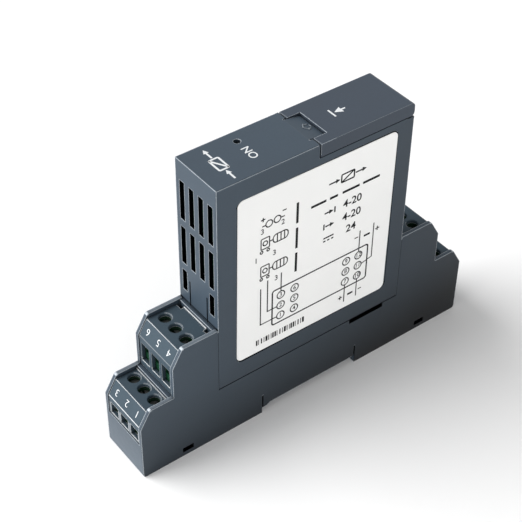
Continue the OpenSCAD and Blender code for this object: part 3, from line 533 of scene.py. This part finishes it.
def board_laminate():
    """Glass-fibre board: green mask over copper tracks, with bare tinned pads."""
    finish = Finish("board_laminate")
    weave = finish.rings(0.45, "X") * finish.rings(0.45, "Y")
    tracks = (finish.rings(2.54, "Y") > 0.8) | (finish.rings(5.08, "Z") > 0.9)
    pads = 0.16 - finish.cells(2.2) > 0
    mask = finish.blend(tracks, srgb(18, 74, 42), srgb(34, 104, 58))
    tint = finish.blend(pads, mask, srgb(186, 184, 176))
    return finish.body(
        tint,
        0.34 + 0.1 * weave,
        Metallic=pads,
        Normal=finish.relief(0.6 * tracks + 0.4 * weave, 0.02),
        Specular_IOR_Level=0.5,
    )


def wound_copper():
    """Enamelled winding, wire beside wire."""
    finish = Finish("wound_copper")
    turns = finish.rings(0.32, "Z")
    cloud = finish.noise(3.0, 2.0)
    tint = finish.blend(turns, srgb(96, 46, 18), srgb(186, 104, 48))
    return finish.body(
        finish.blend(0.4 * cloud, tint, srgb(120, 60, 24)),
        0.34 + 0.1 * cloud,
        Metallic=0.55,
        Normal=finish.relief(turns, 0.1),
        Coat_Weight=0.5,
    )


def light_lens():
    """Smoked lens of the unlit status light, with a faint swirl in the resin."""
    finish = Finish("light_lens")
    swirl = finish.noise(0.7, 2.0)
    tint = finish.blend(swirl, srgb(26, 34, 26), srgb(44, 56, 40))
    return finish.body(tint, 0.14 + 0.06 * swirl, Normal=finish.relief(swirl, 0.004))


HOUSING, LID, COVER = srgb(56, 69, 81), srgb(52, 62, 74), srgb(60, 74, 84)
# Pale colours of the painted highlights on the edges: housing and lid, covers, and latch
EDGE_HIGHLIGHT, BRIGHT_HIGHLIGHT, LATCH_HIGHLIGHT = srgb(182, 190, 197), srgb(246, 248, 249), srgb(84, 88, 92)
GREEN = srgb(14, 70, 43)

white_ink = printed_ink("white_ink", srgb(232, 235, 237), 0.86)
black_ink = printed_ink("black_ink", srgb(16, 16, 18), 1.6)

# Finish of each of the record's slots
SLOT_FINISHES = {
    "housing_grey": moulded_plastic(
        "housing_plastic",
        HOUSING,
        edge=(EDGE_HIGHLIGHT, 0.36, 11.0),
        highlights=housing_highlights,
        darkness=housing_darkness,
        inside=(9.0, housing_cuts),
    ),
    "lid_grey": moulded_plastic("lid_plastic", LID, edge=(EDGE_HIGHLIGHT, 0.25, 9.0), highlights=lid_highlights),
    "cover_grey": moulded_plastic(
        "cover_plastic", COVER, specular=0.16, edge=(BRIGHT_HIGHLIGHT, 0.3, 16.0), highlights=cover_highlights
    ),
    "label_white": label_film(),
    # The green takes painted shade in crevices up to 4 mm wide, which darkens its windows
    "terminal_green": moulded_plastic("terminal_plastic", GREEN, 0.42, 0.004, crevice=4.0),
    "screw_steel": plated_metal("screw_zinc", srgb(196, 199, 198), 0.34),
    "clamp_steel": plated_metal("clamp_zinc", srgb(182, 184, 180), 0.4, (1, 0.08, 1)),
    "contact_brass": plated_metal("contact_metal", srgb(206, 178, 116), 0.36),
    "board_green": board_laminate(),
    "moulded_black": moulded_plastic("black_moulding", srgb(34, 35, 38)),
    "pin_tin": plated_metal("tinned_pin", srgb(200, 200, 194), 0.32),
    "ferrite_black": moulded_plastic("ferrite", srgb(52, 52, 54), 0.62, 0.02, 0.3),
    "coil_copper": wound_copper(),
    "light_lens": light_lens(),
    "trimmer_blue": moulded_plastic("trimmer_plastic", srgb(42, 94, 164), 0.4, 0.004),
    "rotor_brass": plated_metal("rotor_metal", srgb(212, 182, 112), 0.32),
    "latch_black": moulded_plastic("latch_plastic", srgb(38, 40, 43), 0.46, edge=(LATCH_HIGHLIGHT, 0.25, 9.0)),
    "spring_steel": plated_metal("spring_wire", srgb(176, 178, 180), 0.28),
}


def dress_frame():
    """Gives each CAD node its finish, by its slot in the record."""
    for part in frame["record"]["subparts"]:
        materials = frame["nodes"][part["node"]].data.materials
        materials.clear()
        materials.append(SLOT_FINISHES[part["material_slot"]])


def add_piece(name, mesh, finish, body):
    """A new mesh piece that moves with a CAD body."""
    mesh.materials.append(finish)
    piece = bpy.data.objects.new(name, mesh)
    bpy.context.scene.collection.objects.link(piece)
    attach(piece, body)
    return piece


class Print:
    """Marks printed on a flat face, drawn in millimetres to the right and up from an origin on it."""

    def __init__(self, origin, right, up):
        axes = Matrix((right, up, right.cross(up))).transposed().to_4x4()
        self.matrix = Matrix.Translation(origin) @ axes @ Matrix.Scale(MM, 4)
        self.mesh = bmesh.new()

    def point(self, spot, height):
        """A corner of the ink above a spot."""
        return self.mesh.verts.new((spot[0], spot[1], height))

    def band(self, points, width, closed=False):
        """A line of ink along points, mitred at its corners."""
        spots = [Vector(p) for p in points]
        count = len(spots)
        rails = []
        for i, spot in enumerate(spots):
            ways = []
            if closed or i > 0:
                ways.append((spot - spots[i - 1]).normalized())
            if closed or i < count - 1:
                ways.append((spots[(i + 1) % count] - spot).normalized())
            sides = [Vector((-way.y, way.x)) for way in ways]
            mitre = sum(sides, Vector((0, 0))).normalized()
            reach = width / 2 / max(MITRE_LIMIT, mitre.dot(sides[0]))
            rails.append((spot + mitre * reach, spot - mitre * reach))
        rings = [
            [self.point(left, INK_T), self.point(right, INK_T), self.point(right, 0), self.point(left, 0)]
            for left, right in rails
        ]
        for i in range(count if closed else count - 1):
            here, there = rings[i], rings[(i + 1) % count]
            for k in range(4):
                self.mesh.faces.new((here[k], here[(k + 1) % 4], there[(k + 1) % 4], there[k]))
        if not closed:
            self.mesh.faces.new(reversed(rings[0]))
            self.mesh.faces.new(rings[-1])

    def bar(self, left, right, level, width):
        """A level line."""
        self.band([(left, level), (right, level)], width)

    def post(self, place, low, high, width):
        """An upright line."""
        self.band([(place, low), (place, high)], width)

    def ring(self, centre, radius, width, steps=28):
        """A circle."""
        turns = [2 * math.pi * i / steps for i in range(steps)]
        points = [(centre[0] + radius * math.cos(a), centre[1] + radius * math.sin(a)) for a in turns]
        self.band(points, width, True)

    def frame(self, low, high, radius, width, steps=5):
        """A rectangle with rounded corners."""
        left, right = low[0] + radius, high[0] - radius
        bottom, top = low[1] + radius, high[1] - radius
        points = []
        for quarter, (u, v) in enumerate(((right, top), (left, top), (left, bottom), (right, bottom))):
            for i in range(steps + 1):
                angle = math.pi / 2 * (quarter + i / steps)
                points.append((u + radius * math.cos(angle), v + radius * math.sin(angle)))
        self.band(points, width, True)

    def arrow(self, tail, tip, head, width):
        """A line that ends in a filled head."""
        start, end = Vector(tail), Vector(tip)
        way = (end - start).normalized()
        side = Vector((-way.y, way.x)) * head / 2
        neck = end - way * head
        self.band([start, neck], width)
        outline = [neck + side, neck - side, end]
        top = [self.point(p, INK_T) for p in outline]
        low = [self.point(p, 0) for p in outline]
        self.mesh.faces.new(top)
        self.mesh.faces.new(reversed(low))
        for k in range(3):
            self.mesh.faces.new((top[(k + 1) % 3], top[k], low[k], low[(k + 1) % 3]))

    def minus(self, centre, size, width):
        """A minus sign."""
        self.bar(centre[0] - size / 2, centre[0] + size / 2, centre[1], width)

    def plus(self, centre, size, width):
        """A plus sign."""
        self.minus(centre, size, width)
        self.post(centre[0], centre[1] - size / 2, centre[1] + size / 2, width)

    def numeral(self, text, centre, height, weight=0.008):
        """A number, centred on a point. A positive weight widens its strokes by this share of its size."""
        letters = bpy.data.curves.new("numeral", "FONT")
        letters.body, letters.align_x, letters.align_y = text, "CENTER", "CENTER"
        letters.size = height / CAP_SHARE
        letters.offset = weight * letters.size
        letters.extrude = INK_T / 2
        letters.resolution_u = 6
        holder = bpy.data.objects.new("numeral", letters)
        shape = bpy.data.meshes.new_from_object(holder)
        shape.transform(Matrix.Translation((centre[0], centre[1], INK_T / 2)))
        self.mesh.from_mesh(shape)
        bpy.data.objects.remove(holder)
        bpy.data.meshes.remove(shape)
        bpy.data.curves.remove(letters)

    def done(self, name, finish, body):
        """Ends the drawing as one piece on a body."""
        bmesh.ops.transform(self.mesh, matrix=Matrix.Translation((0, 0, -INK_SUNK)), verts=self.mesh.verts)
        bmesh.ops.transform(self.mesh, matrix=self.matrix, verts=self.mesh.verts)
        bmesh.ops.recalc_face_normals(self.mesh, faces=self.mesh.faces)
        mesh = bpy.data.meshes.new(name)
        self.mesh.to_mesh(mesh)
        self.mesh.free()
        return add_piece(name, mesh, finish, body)


def middle(node):
    """Middle of a CAD node's box, in metres."""
    low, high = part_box(node)
    return (low + high) / 2


ROW_POLES = {"1_3": (1, 2, 3), "4_6": (4, 5, 6), "7_9": (7, 8, 9), "10_12": (10, 11, 12)}
POLE_NUMBER_H, POLE_NUMBER_WEIGHT = 2.15, -0.012


def print_pole_numbers():
    """White numbers on the slopes. All of them are read from the far end, so their tops point to -Y."""
    for row, poles in ROW_POLES.items():
        low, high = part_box(f"terminal_cover_{row}")
        end = -1 if low.y < 0 else 1
        face_y = low.y if end < 0 else high.y
        drop = SLOPE_H * MM
        run = drop * SLOPE_RUN / SLOPE_DROP
        origin = Vector((0, face_y - end * run / 2, high.z - BEAD_H * MM - drop / 2))
        up = Vector((0, -run, end * drop)).normalized()
        ink = Print(origin, -X, up)
        for pole in poles:
            spot = (-middle(f"clamp_screw_{pole}").x / MM, 0)
            ink.numeral(str(pole), spot, POLE_NUMBER_H, POLE_NUMBER_WEIGHT)
        ink.done(f"pole_numbers_{row}", white_ink, "housing")


# Box, its corners and the arrowheads of the signal path, as shares of its height
PATH_BOX, PATH_ROUND, PATH_HEAD = 1.7, 0.12, 0.55


def draw_signal_path(ink, centre, width, height, line):
    """Pictogram of an isolated signal: an arrow into a split box and an arrow out of it."""
    u, v = centre
    box = height * PATH_BOX
    low, high = (u - box / 2, v - height / 2), (u + box / 2, v + height / 2)
    ink.frame(low, high, height * PATH_ROUND, line)
    ink.band([low, high], line)
    for start in (u - width / 2, u + box / 2 + line):
        ink.arrow((start, v), (start + (width - box) / 2 - line, v), height * PATH_HEAD, line)


# Name of the light on the top, beside it, and the signal path
LIGHT_NAME_U, LIGHT_NAME_H = -0.8, 2.35
TOP_PATH, TOP_PATH_W, TOP_PATH_H, TOP_LINE_W = (-0.1, 25.6), 14.2, 2.9, 0.55
# Arrow on the lid, and the bar that it points to
LIFT_TAIL, LIFT_TIP, LIFT_HEAD, LIFT_LINE_W = (0.2, -15.9), (0.2, -12.2), 2.4, 0.5
LIFT_BAR = (-1.5, 1.9, -11.4)


def print_top():
    """White marks on the top: the light's name, the signal path, and where to lift the lid."""
    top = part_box("tower_housing")[1].z
    light = middle("status_light")
    ink = Print(Vector((0, 0, top)), -X, -Y)
    ink.numeral("ON", (LIGHT_NAME_U, -light.y / MM), LIGHT_NAME_H)
    draw_signal_path(ink, TOP_PATH, TOP_PATH_W, TOP_PATH_H, TOP_LINE_W)
    ink.done("top_print", white_ink, "housing")

    lid = Print(Vector((0, 0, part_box("flip_lid")[1].z)), -X, -Y)
    lid.arrow(LIFT_TAIL, LIFT_TIP, LIFT_HEAD, LIFT_LINE_W)
    lid.bar(*LIFT_BAR, LIFT_LINE_W)
    lid.done("lid_print", white_ink, "lid")


# Print on the label, in millimetres from a corner that lies this far from the label's middle
PRINT_LEFT, PRINT_DOWN = 27.05, 28.05
# Outline of the module in the wiring diagram, and the rings with the poles' numbers, column by column
DIAGRAM_LOW, DIAGRAM_HIGH, DIAGRAM_R = (12.1, 7.3), (46.2, 20.1), 0.8
RING_R, RING_NUMBER_H, RING_V = 1.3, 1.45, (17.5, 13.65, 9.8)
NEAR_LOW_U, NEAR_HIGH_U, FAR_HIGH_U, FAR_LOW_U = 15.05, 19.85, 38.35, 42.85
RING_COLUMNS = {
    NEAR_LOW_U: (3, 2, 1),
    NEAR_HIGH_U: (6, 5, 4),
    FAR_HIGH_U: (9, 8, 7),
    FAR_LOW_U: (12, 11, 10),
}
# Signal path at the top of the label
LABEL_PATH, LABEL_PATH_W, LABEL_PATH_H = (37.0, 48.6), 13.0, 2.6
# Plain bars below the signal path, and upright ones beside the sensors
RULE_V, RULES = 43.6, ((24.6, 29.8), (31.0, 33.8), (35.4, 41.4), (42.6, 48.6))
POST_U, POSTS = 20.0, ((23.4, 30.2), (31.8, 39.0), (40.6, 47.6))
# Plain numbers of the input, the output and the supply
VALUE_U, VALUE_H, VALUE_WEIGHT = 39.2, 2.5, 0.016
VALUES = ((39.1, "4-20"), (34.4, "4-20"), (29.7, "24"))


def print_label():
    """Black wiring diagram with the pole numbers, and symbols with plain numbers beside them."""
    corner = middle("side_label") - (PRINT_LEFT * Y + PRINT_DOWN * Z) * MM
    corner.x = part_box("side_label")[1].x
    ink = Print(corner, Y, Z)
    ink.frame(DIAGRAM_LOW, DIAGRAM_HIGH, DIAGRAM_R, LINE_W)
    for u, numbers in RING_COLUMNS.items():
        for v, number in zip(RING_V, numbers):
            ink.ring((u, v), RING_R, FINE_W)
            ink.numeral(str(number), (u, v), RING_NUMBER_H)
    draw_label_wires(ink)
    draw_label_sensors(ink)
    draw_signal_path(ink, LABEL_PATH, LABEL_PATH_W, LABEL_PATH_H, LINE_W)
    for left, right in RULES:
        ink.bar(left, right, RULE_V, BAR_W)
    for v, value in VALUES:
        ink.numeral(value, (VALUE_U, v), VALUE_H, VALUE_WEIGHT)
    draw_line_symbols(ink, *(v for v, _ in VALUES))
    for low, high in POSTS:
        ink.post(POST_U, low, high, BAR_W)
    draw_bar_code(ink)
    ink.done("label_print", black_ink, "housing")


# Signs before the plain numbers: left end and width, arrowheads, and half the height of the bars
SYMBOL_U, SYMBOL_W, SYMBOL_HEAD, SYMBOL_HALF = 29.4, 3.6, 1.5, 1
# Sign of direct current: half its height, and the starts and length of its dashes
CURRENT_HALF, DASHES, DASH_L = 0.55, (0.0, 1.4, 2.8), 0.8


def draw_line_symbols(ink, inward, outward, supply):
    """Signs of the three numbers: an arrow to a bar, an arrow from a bar, and direct current."""
    left, right = SYMBOL_U, SYMBOL_U + SYMBOL_W
    ink.arrow((left, inward), (right - LINE_W, inward), SYMBOL_HEAD, LINE_W)
    ink.post(right, inward - SYMBOL_HALF, inward + SYMBOL_HALF, LINE_W)
    ink.arrow((left + LINE_W, outward), (right, outward), SYMBOL_HEAD, LINE_W)
    ink.post(left, outward - SYMBOL_HALF, outward + SYMBOL_HALF, LINE_W)
    ink.bar(left, right, supply + CURRENT_HALF, LINE_W)
    for dash in DASHES:
        ink.bar(left + dash, left + dash + DASH_L, supply - CURRENT_HALF, LINE_W)


# Wires of the diagram: where the outer ones stand, how much the output's rises before it, and their ends
FIRST_WIRE_U, SECOND_WIRE_U, OUTPUT_WIRE_U, OUTPUT_RISE = 8.05, 10.4, 47.9, 0.9
FIRST_TOP, SECOND_TOP, THIRD_TOP = 23.2, 25.2, 25.6
OUTPUT_MINUS_TOP, OUTPUT_PLUS_TOP, SUPPLY_FOOT = 26.6, 27.0, 1.9
# Signs beside the wires, and the short bars between them
PLUS_SIZE, MINUS_SIZE = 1.5, 1.3
OUTPUT_MINUS, OUTPUT_PLUS = (41.6, 24.6), (49.3, 24.4)
SUPPLY_PLUS, SUPPLY_MINUS = (36.9, 4.1), (44.2, 4.1)
SHORT_BARS, SHORT_BAR_W = ((44.4, 46.6, 23.9), (39.6, 41.6, 4.1)), 0.7


def draw_label_wires(ink):
    """Wires from the rings in the diagram to their signs."""
    top_v, middle_v, low_v = RING_V
    first = [(NEAR_LOW_U - RING_R, low_v), (FIRST_WIRE_U, low_v), (FIRST_WIRE_U, FIRST_TOP)]
    second = [(NEAR_LOW_U - RING_R, middle_v), (SECOND_WIRE_U, middle_v), (SECOND_WIRE_U, SECOND_TOP)]
    bend_v = middle_v + OUTPUT_RISE
    output = [(FAR_LOW_U + RING_R, middle_v), (OUTPUT_WIRE_U, bend_v), (OUTPUT_WIRE_U, OUTPUT_PLUS_TOP)]
    ink.band(first, FINE_W)
    ink.band(second, FINE_W)
    ink.post(NEAR_LOW_U, top_v + RING_R, THIRD_TOP, FINE_W)
    ink.post(FAR_LOW_U, top_v + RING_R, OUTPUT_MINUS_TOP, FINE_W)
    ink.band(output, FINE_W)
    for u in (FAR_HIGH_U, FAR_LOW_U):
        ink.post(u, low_v - RING_R, SUPPLY_FOOT, FINE_W)
    ink.minus(OUTPUT_MINUS, MINUS_SIZE, FINE_W)
    ink.plus(OUTPUT_PLUS, PLUS_SIZE, FINE_W)
    ink.plus(SUPPLY_PLUS, PLUS_SIZE, FINE_W)
    ink.minus(SUPPLY_MINUS, MINUS_SIZE, FINE_W)
    for short_bar in SHORT_BARS:
        ink.bar(*short_bar, SHORT_BAR_W)


# Transmitters at the input: their feet, and above each foot a banded body, a head with an eye, and two clamps
SENSOR_FEET, SENSOR_AXIS = (27.9, 37.5), 1.4
BODY_U, BODY_H, BODY_R = (12.0, 17.0), 2.8, 1.2
BODY_BANDS, BAND_GAP = (13.4, 14.6, 15.8), 0.1
HEAD_U, HEAD_V, HEAD_R, EYE_U, EYE_R = (8.0, 10.8), (-0.4, 3.2), 0.3, 9.4, 0.75
CLAMP_U, CLAMP_DROP, CLAMP_R = (8.2, 10.4), 1.3, 0.42
# Source at the input: its two rings, its leads and its signs
SOURCE_RINGS, SOURCE_R = ((10.6, 45.1), (13.3, 45.3)), 1.1
SOURCE_LEADS = ((8.3, 9.5, 45.0), (14.4, 15.7, 45.3))
SOURCE_PLUS, SOURCE_PLUS_SIZE, SOURCE_MINUS = (8.6, 47.2), 1.4, (15.6, 47.3)
# Numbers of the poles that they are wired to
SENSOR_NUMBER_H = 1.7
SOURCE_POLES = ((3, (8.4, 43.2)), (2, (15.2, 43.4)))
SENSOR_POLES = ((1, (6.4, 34.1)), (3, (12.5, 34.1)), (3, (13.3, 24.6)))


def draw_label_sensors(ink):
    """Two transmitters and a source on the input side."""
    for foot in SENSOR_FEET:
        axis = foot + SENSOR_AXIS
        ink.frame((BODY_U[0], foot), (BODY_U[1], foot + BODY_H), BODY_R, FINE_W)
        for u in BODY_BANDS:
            ink.post(u, foot + BAND_GAP, foot + BODY_H - BAND_GAP, FINE_W)
        ink.frame((HEAD_U[0], foot + HEAD_V[0]), (HEAD_U[1], foot + HEAD_V[1]), HEAD_R, FINE_W)
        ink.ring((EYE_U, axis), EYE_R, FINE_W)
        ink.bar(HEAD_U[1], BODY_U[0], axis, FINE_W)
        for u in CLAMP_U:
            ink.ring((u, foot - CLAMP_DROP), CLAMP_R, FINE_W)
    for centre in SOURCE_RINGS:
        ink.ring(centre, SOURCE_R, FINE_W)
    for lead in SOURCE_LEADS:
        ink.bar(*lead, FINE_W)
    ink.plus(SOURCE_PLUS, SOURCE_PLUS_SIZE, FINE_W)
    ink.minus(SOURCE_MINUS, MINUS_SIZE, FINE_W)
    for pole, spot in SOURCE_POLES + SENSOR_POLES:
        ink.numeral(str(pole), spot, SENSOR_NUMBER_H)


# Upright bars: left and right end of their row, its foot and height, and the widths of bars and gaps
CODE_FROM, CODE_TO, CODE_FOOT, CODE_H = 6.6, 23.4, 2.4, 2.0
CODE_WIDTHS = (0.55, 0.25, 0.4, 0.25, 0.7, 0.3, 0.25, 0.55)


def draw_bar_code(ink):
    """Plain upright bars of a few widths. They stand for no code."""
    count = len(CODE_WIDTHS)
    u, i = CODE_FROM, 0
    while u < CODE_TO:
        width = CODE_WIDTHS[i % count]
        ink.post(u + width / 2, CODE_FOOT, CODE_FOOT + CODE_H, width)
        u += width + CODE_WIDTHS[(i * 3 + 1) % count]
        i += 1


# Ramp under the lid's notch: its ends along Y and its drop, and how far along it the arrow lies
RAMP_FROM, RAMP_TO, RAMP_DROP, RAMP_SHARE = -0.8, 4.65, 0.9, 0.62
# Arrow on the ramp: height, half the widths of its legs, head and foot, their places, and line widths
PRY_MARK_T = 0.12
PRY_LEG_U, PRY_HEAD_U, PRY_FOOT_U = 1.0, 1.5, 0.5
PRY_LEG_V, PRY_HEAD_V, PRY_FOOT_V = -0.9, 1.1, -1.3
PRY_LEG_W, PRY_LINE_W = 0.4, 0.35


def raise_pry_mark():
    """Small arrow moulded on the ramp under the lid's notch."""
    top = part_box("tower_housing")[1].z
    start, end = Vector((0, RAMP_FROM, 0)) * MM, Vector((0, RAMP_TO, -RAMP_DROP)) * MM
    origin = Vector((0, 0, top)) + start.lerp(end, RAMP_SHARE)
    mark = Print(origin, -X, (start - end).normalized())
    for side in (-1, 1):
        mark.post(side * PRY_LEG_U, PRY_LEG_V, 0.0, PRY_LEG_W)
    mark.band([(-PRY_HEAD_U, 0.0), (0.0, PRY_HEAD_V), (PRY_HEAD_U, 0.0)], PRY_LINE_W)
    mark.bar(-PRY_FOOT_U, PRY_FOOT_U, PRY_FOOT_V, PRY_LINE_W)
    for vert in mark.mesh.verts:
        vert.co.z *= PRY_MARK_T / INK_T
    mark.done("pry_mark", SLOT_FINISHES["housing_grey"], "housing")


# Latch spring: its wire, its turns and how many are closed at each end, and how far the latch presses it
SPRING_WIRE, SPRING_TURNS, SPRING_CLOSED, LATCH_TRAVEL = 0.4, 8.0, 0.9, 3.5
# Steps in a turn, and sides of the wire
TURN_STEPS, WIRE_SIDES = 28, 10


def wind_spring():
    """Latch spring with closed ends, wound along Y."""
    low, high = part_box("latch_spring")
    centre = (low + high) / 2
    wire_r = SPRING_WIRE / 2
    length = (high.y - low.y) / MM - SPRING_WIRE
    coil_r = (high.x - low.x) / MM / 2 - wire_r
    steps = int(SPRING_TURNS * TURN_STEPS)
    open_turns = SPRING_TURNS - 2 * SPRING_CLOSED
    open_rise = (length - 2 * SPRING_CLOSED * SPRING_WIRE) / open_turns
    mesh = bmesh.new()
    rings = []
    for i in range(steps + 1):
        turn = SPRING_TURNS * i / steps
        opened = min(max(turn - SPRING_CLOSED, 0), open_turns)
        y = (turn - opened) * SPRING_WIRE + opened * open_rise - length / 2
        angle = 2 * math.pi * turn
        out = Vector((math.cos(angle), 0, math.sin(angle)))
        ring = []
        for k in range(WIRE_SIDES):
            around = 2 * math.pi * k / WIRE_SIDES
            spot = out * (coil_r + wire_r * math.cos(around)) + Y * (y + wire_r * math.sin(around))
            ring.append(mesh.verts.new(centre + spot * MM))
        rings.append(ring)
    for here, there in zip(rings, rings[1:]):
        for k in range(WIRE_SIDES):
            after = (k + 1) % WIRE_SIDES
            mesh.faces.new((here[k], here[after], there[after], there[k]))
    mesh.faces.new(rings[0])
    mesh.faces.new(reversed(rings[-1]))
    bmesh.ops.recalc_face_normals(mesh, faces=mesh.faces)
    for face in mesh.faces:
        face.smooth = True
    data = bpy.data.meshes.new("latch_spring_coil")
    mesh.to_mesh(data)
    mesh.free()
    coil = add_piece("latch_spring_coil", data, SLOT_FINISHES["spring_steel"], "housing")
    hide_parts("latch_spring")
    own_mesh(coil)


# Level of the light from all round
AMBIENT = 0.35
# Side of the floor in metres, the size of its clouds, and its darkest and lightest grey
FLOOR_SIZE, FLOOR_CLOUD = 4.0, 90.0
FLOOR_PALE, FLOOR_WHITE = (0.95, 0.95, 0.95, 1), (0.98, 0.98, 0.98, 1)
# Lamps: direction that each shines from, its level, and how wide it looks, in degrees
LAMPS = {
    "window_light": ((-0.64, -0.74, 0.74), 1.02, 56),
    "low_front_light": ((-0.1, -1.0, 0.16), 0.45, 40),
    "side_light": ((0.8, -0.35, 0.28), 0.33, 60),
}


def light_world():
    """White surround for the camera and reflections, and a plain soft light for everything else."""
    world = bpy.data.worlds.new("studio")
    bpy.context.scene.world = world
    finish = Finish("studio", world)
    seen = finish.node("ShaderNodeLightPath", output="Is Camera Ray")
    shiny = finish.node("ShaderNodeLightPath", output="Is Glossy Ray")
    clear = finish.node("ShaderNodeLightPath", output="Is Transmission Ray")
    strength = AMBIENT + (1 - AMBIENT) * (seen | shiny | clear)
    light = finish.node("ShaderNodeBackground", {}, {"Color": (1, 1, 1, 1), "Strength": strength})
    finish.node("ShaderNodeOutputWorld", {}, {"Surface": light})


def lay_floor():
    """Plain pale floor that takes the shadow."""
    mesh = bmesh.new()
    half = FLOOR_SIZE / 2
    corners = ((-half, -half, 0), (half, -half, 0), (half, half, 0), (-half, half, 0))
    mesh.faces.new([mesh.verts.new(corner) for corner in corners])
    data = bpy.data.meshes.new("floor")
    mesh.to_mesh(data)
    mesh.free()
    finish = Finish("floor_white")
    tint = finish.blend(finish.noise(FLOOR_CLOUD, 2.0), FLOOR_PALE, FLOOR_WHITE)
    data.materials.append(finish.body(tint, 0.9, Specular_IOR_Level=0.1))
    floor = bpy.data.objects.new("floor", data)
    bpy.context.scene.collection.objects.link(floor)


def hang_sun(name, direction, level, softness):
    """A wide soft lamp that shines from a direction. A flat white card that faces it gets this level."""
    lamp = bpy.data.lights.new(name, "SUN")
    lamp.energy = level * math.pi
    lamp.angle = math.radians(softness)
    sun = bpy.data.objects.new(name, lamp)
    sun.rotation_euler = Vector(direction).to_track_quat("Z", "Y").to_euler()
    bpy.context.scene.collection.objects.link(sun)


def set_camera():
    """Camera at the photograph's place, without depth of field."""
    azimuth, elevation, roll = (math.radians(a) for a in (VIEW_AZIMUTH, VIEW_ELEVATION, VIEW_ROLL))
    level = Vector((math.sin(azimuth), -math.cos(azimuth), 0))
    back = level * math.cos(elevation) + Z * math.sin(elevation)
    right = Vector((math.cos(azimuth), math.sin(azimuth), 0))
    turn = Matrix.Rotation(roll, 3, back)
    axes = Matrix((turn @ right, turn @ back.cross(right), back)).transposed().to_4x4()
    data = bpy.data.cameras.new("photo_view")
    data.lens, data.sensor_width = VIEW_LENS, VIEW_SENSOR
    data.clip_start, data.clip_end = VIEW_FROM, VIEW_TO
    camera = bpy.data.objects.new("photo_view", data)
    camera.matrix_world = Matrix.Translation(VIEW_TARGET + back * VIEW_DISTANCE) @ axes
    bpy.context.scene.collection.objects.link(camera)
    bpy.context.scene.camera = camera


set_camera()
dress_frame()
print_pole_numbers()
print_top()
print_label()
raise_pry_mark()
wind_spring()
lay_floor()
light_world()
for lamp_name, lamp_values in LAMPS.items():
    hang_sun(lamp_name, *lamp_values)
bpy.context.scene.view_settings.view_transform = "Standard"
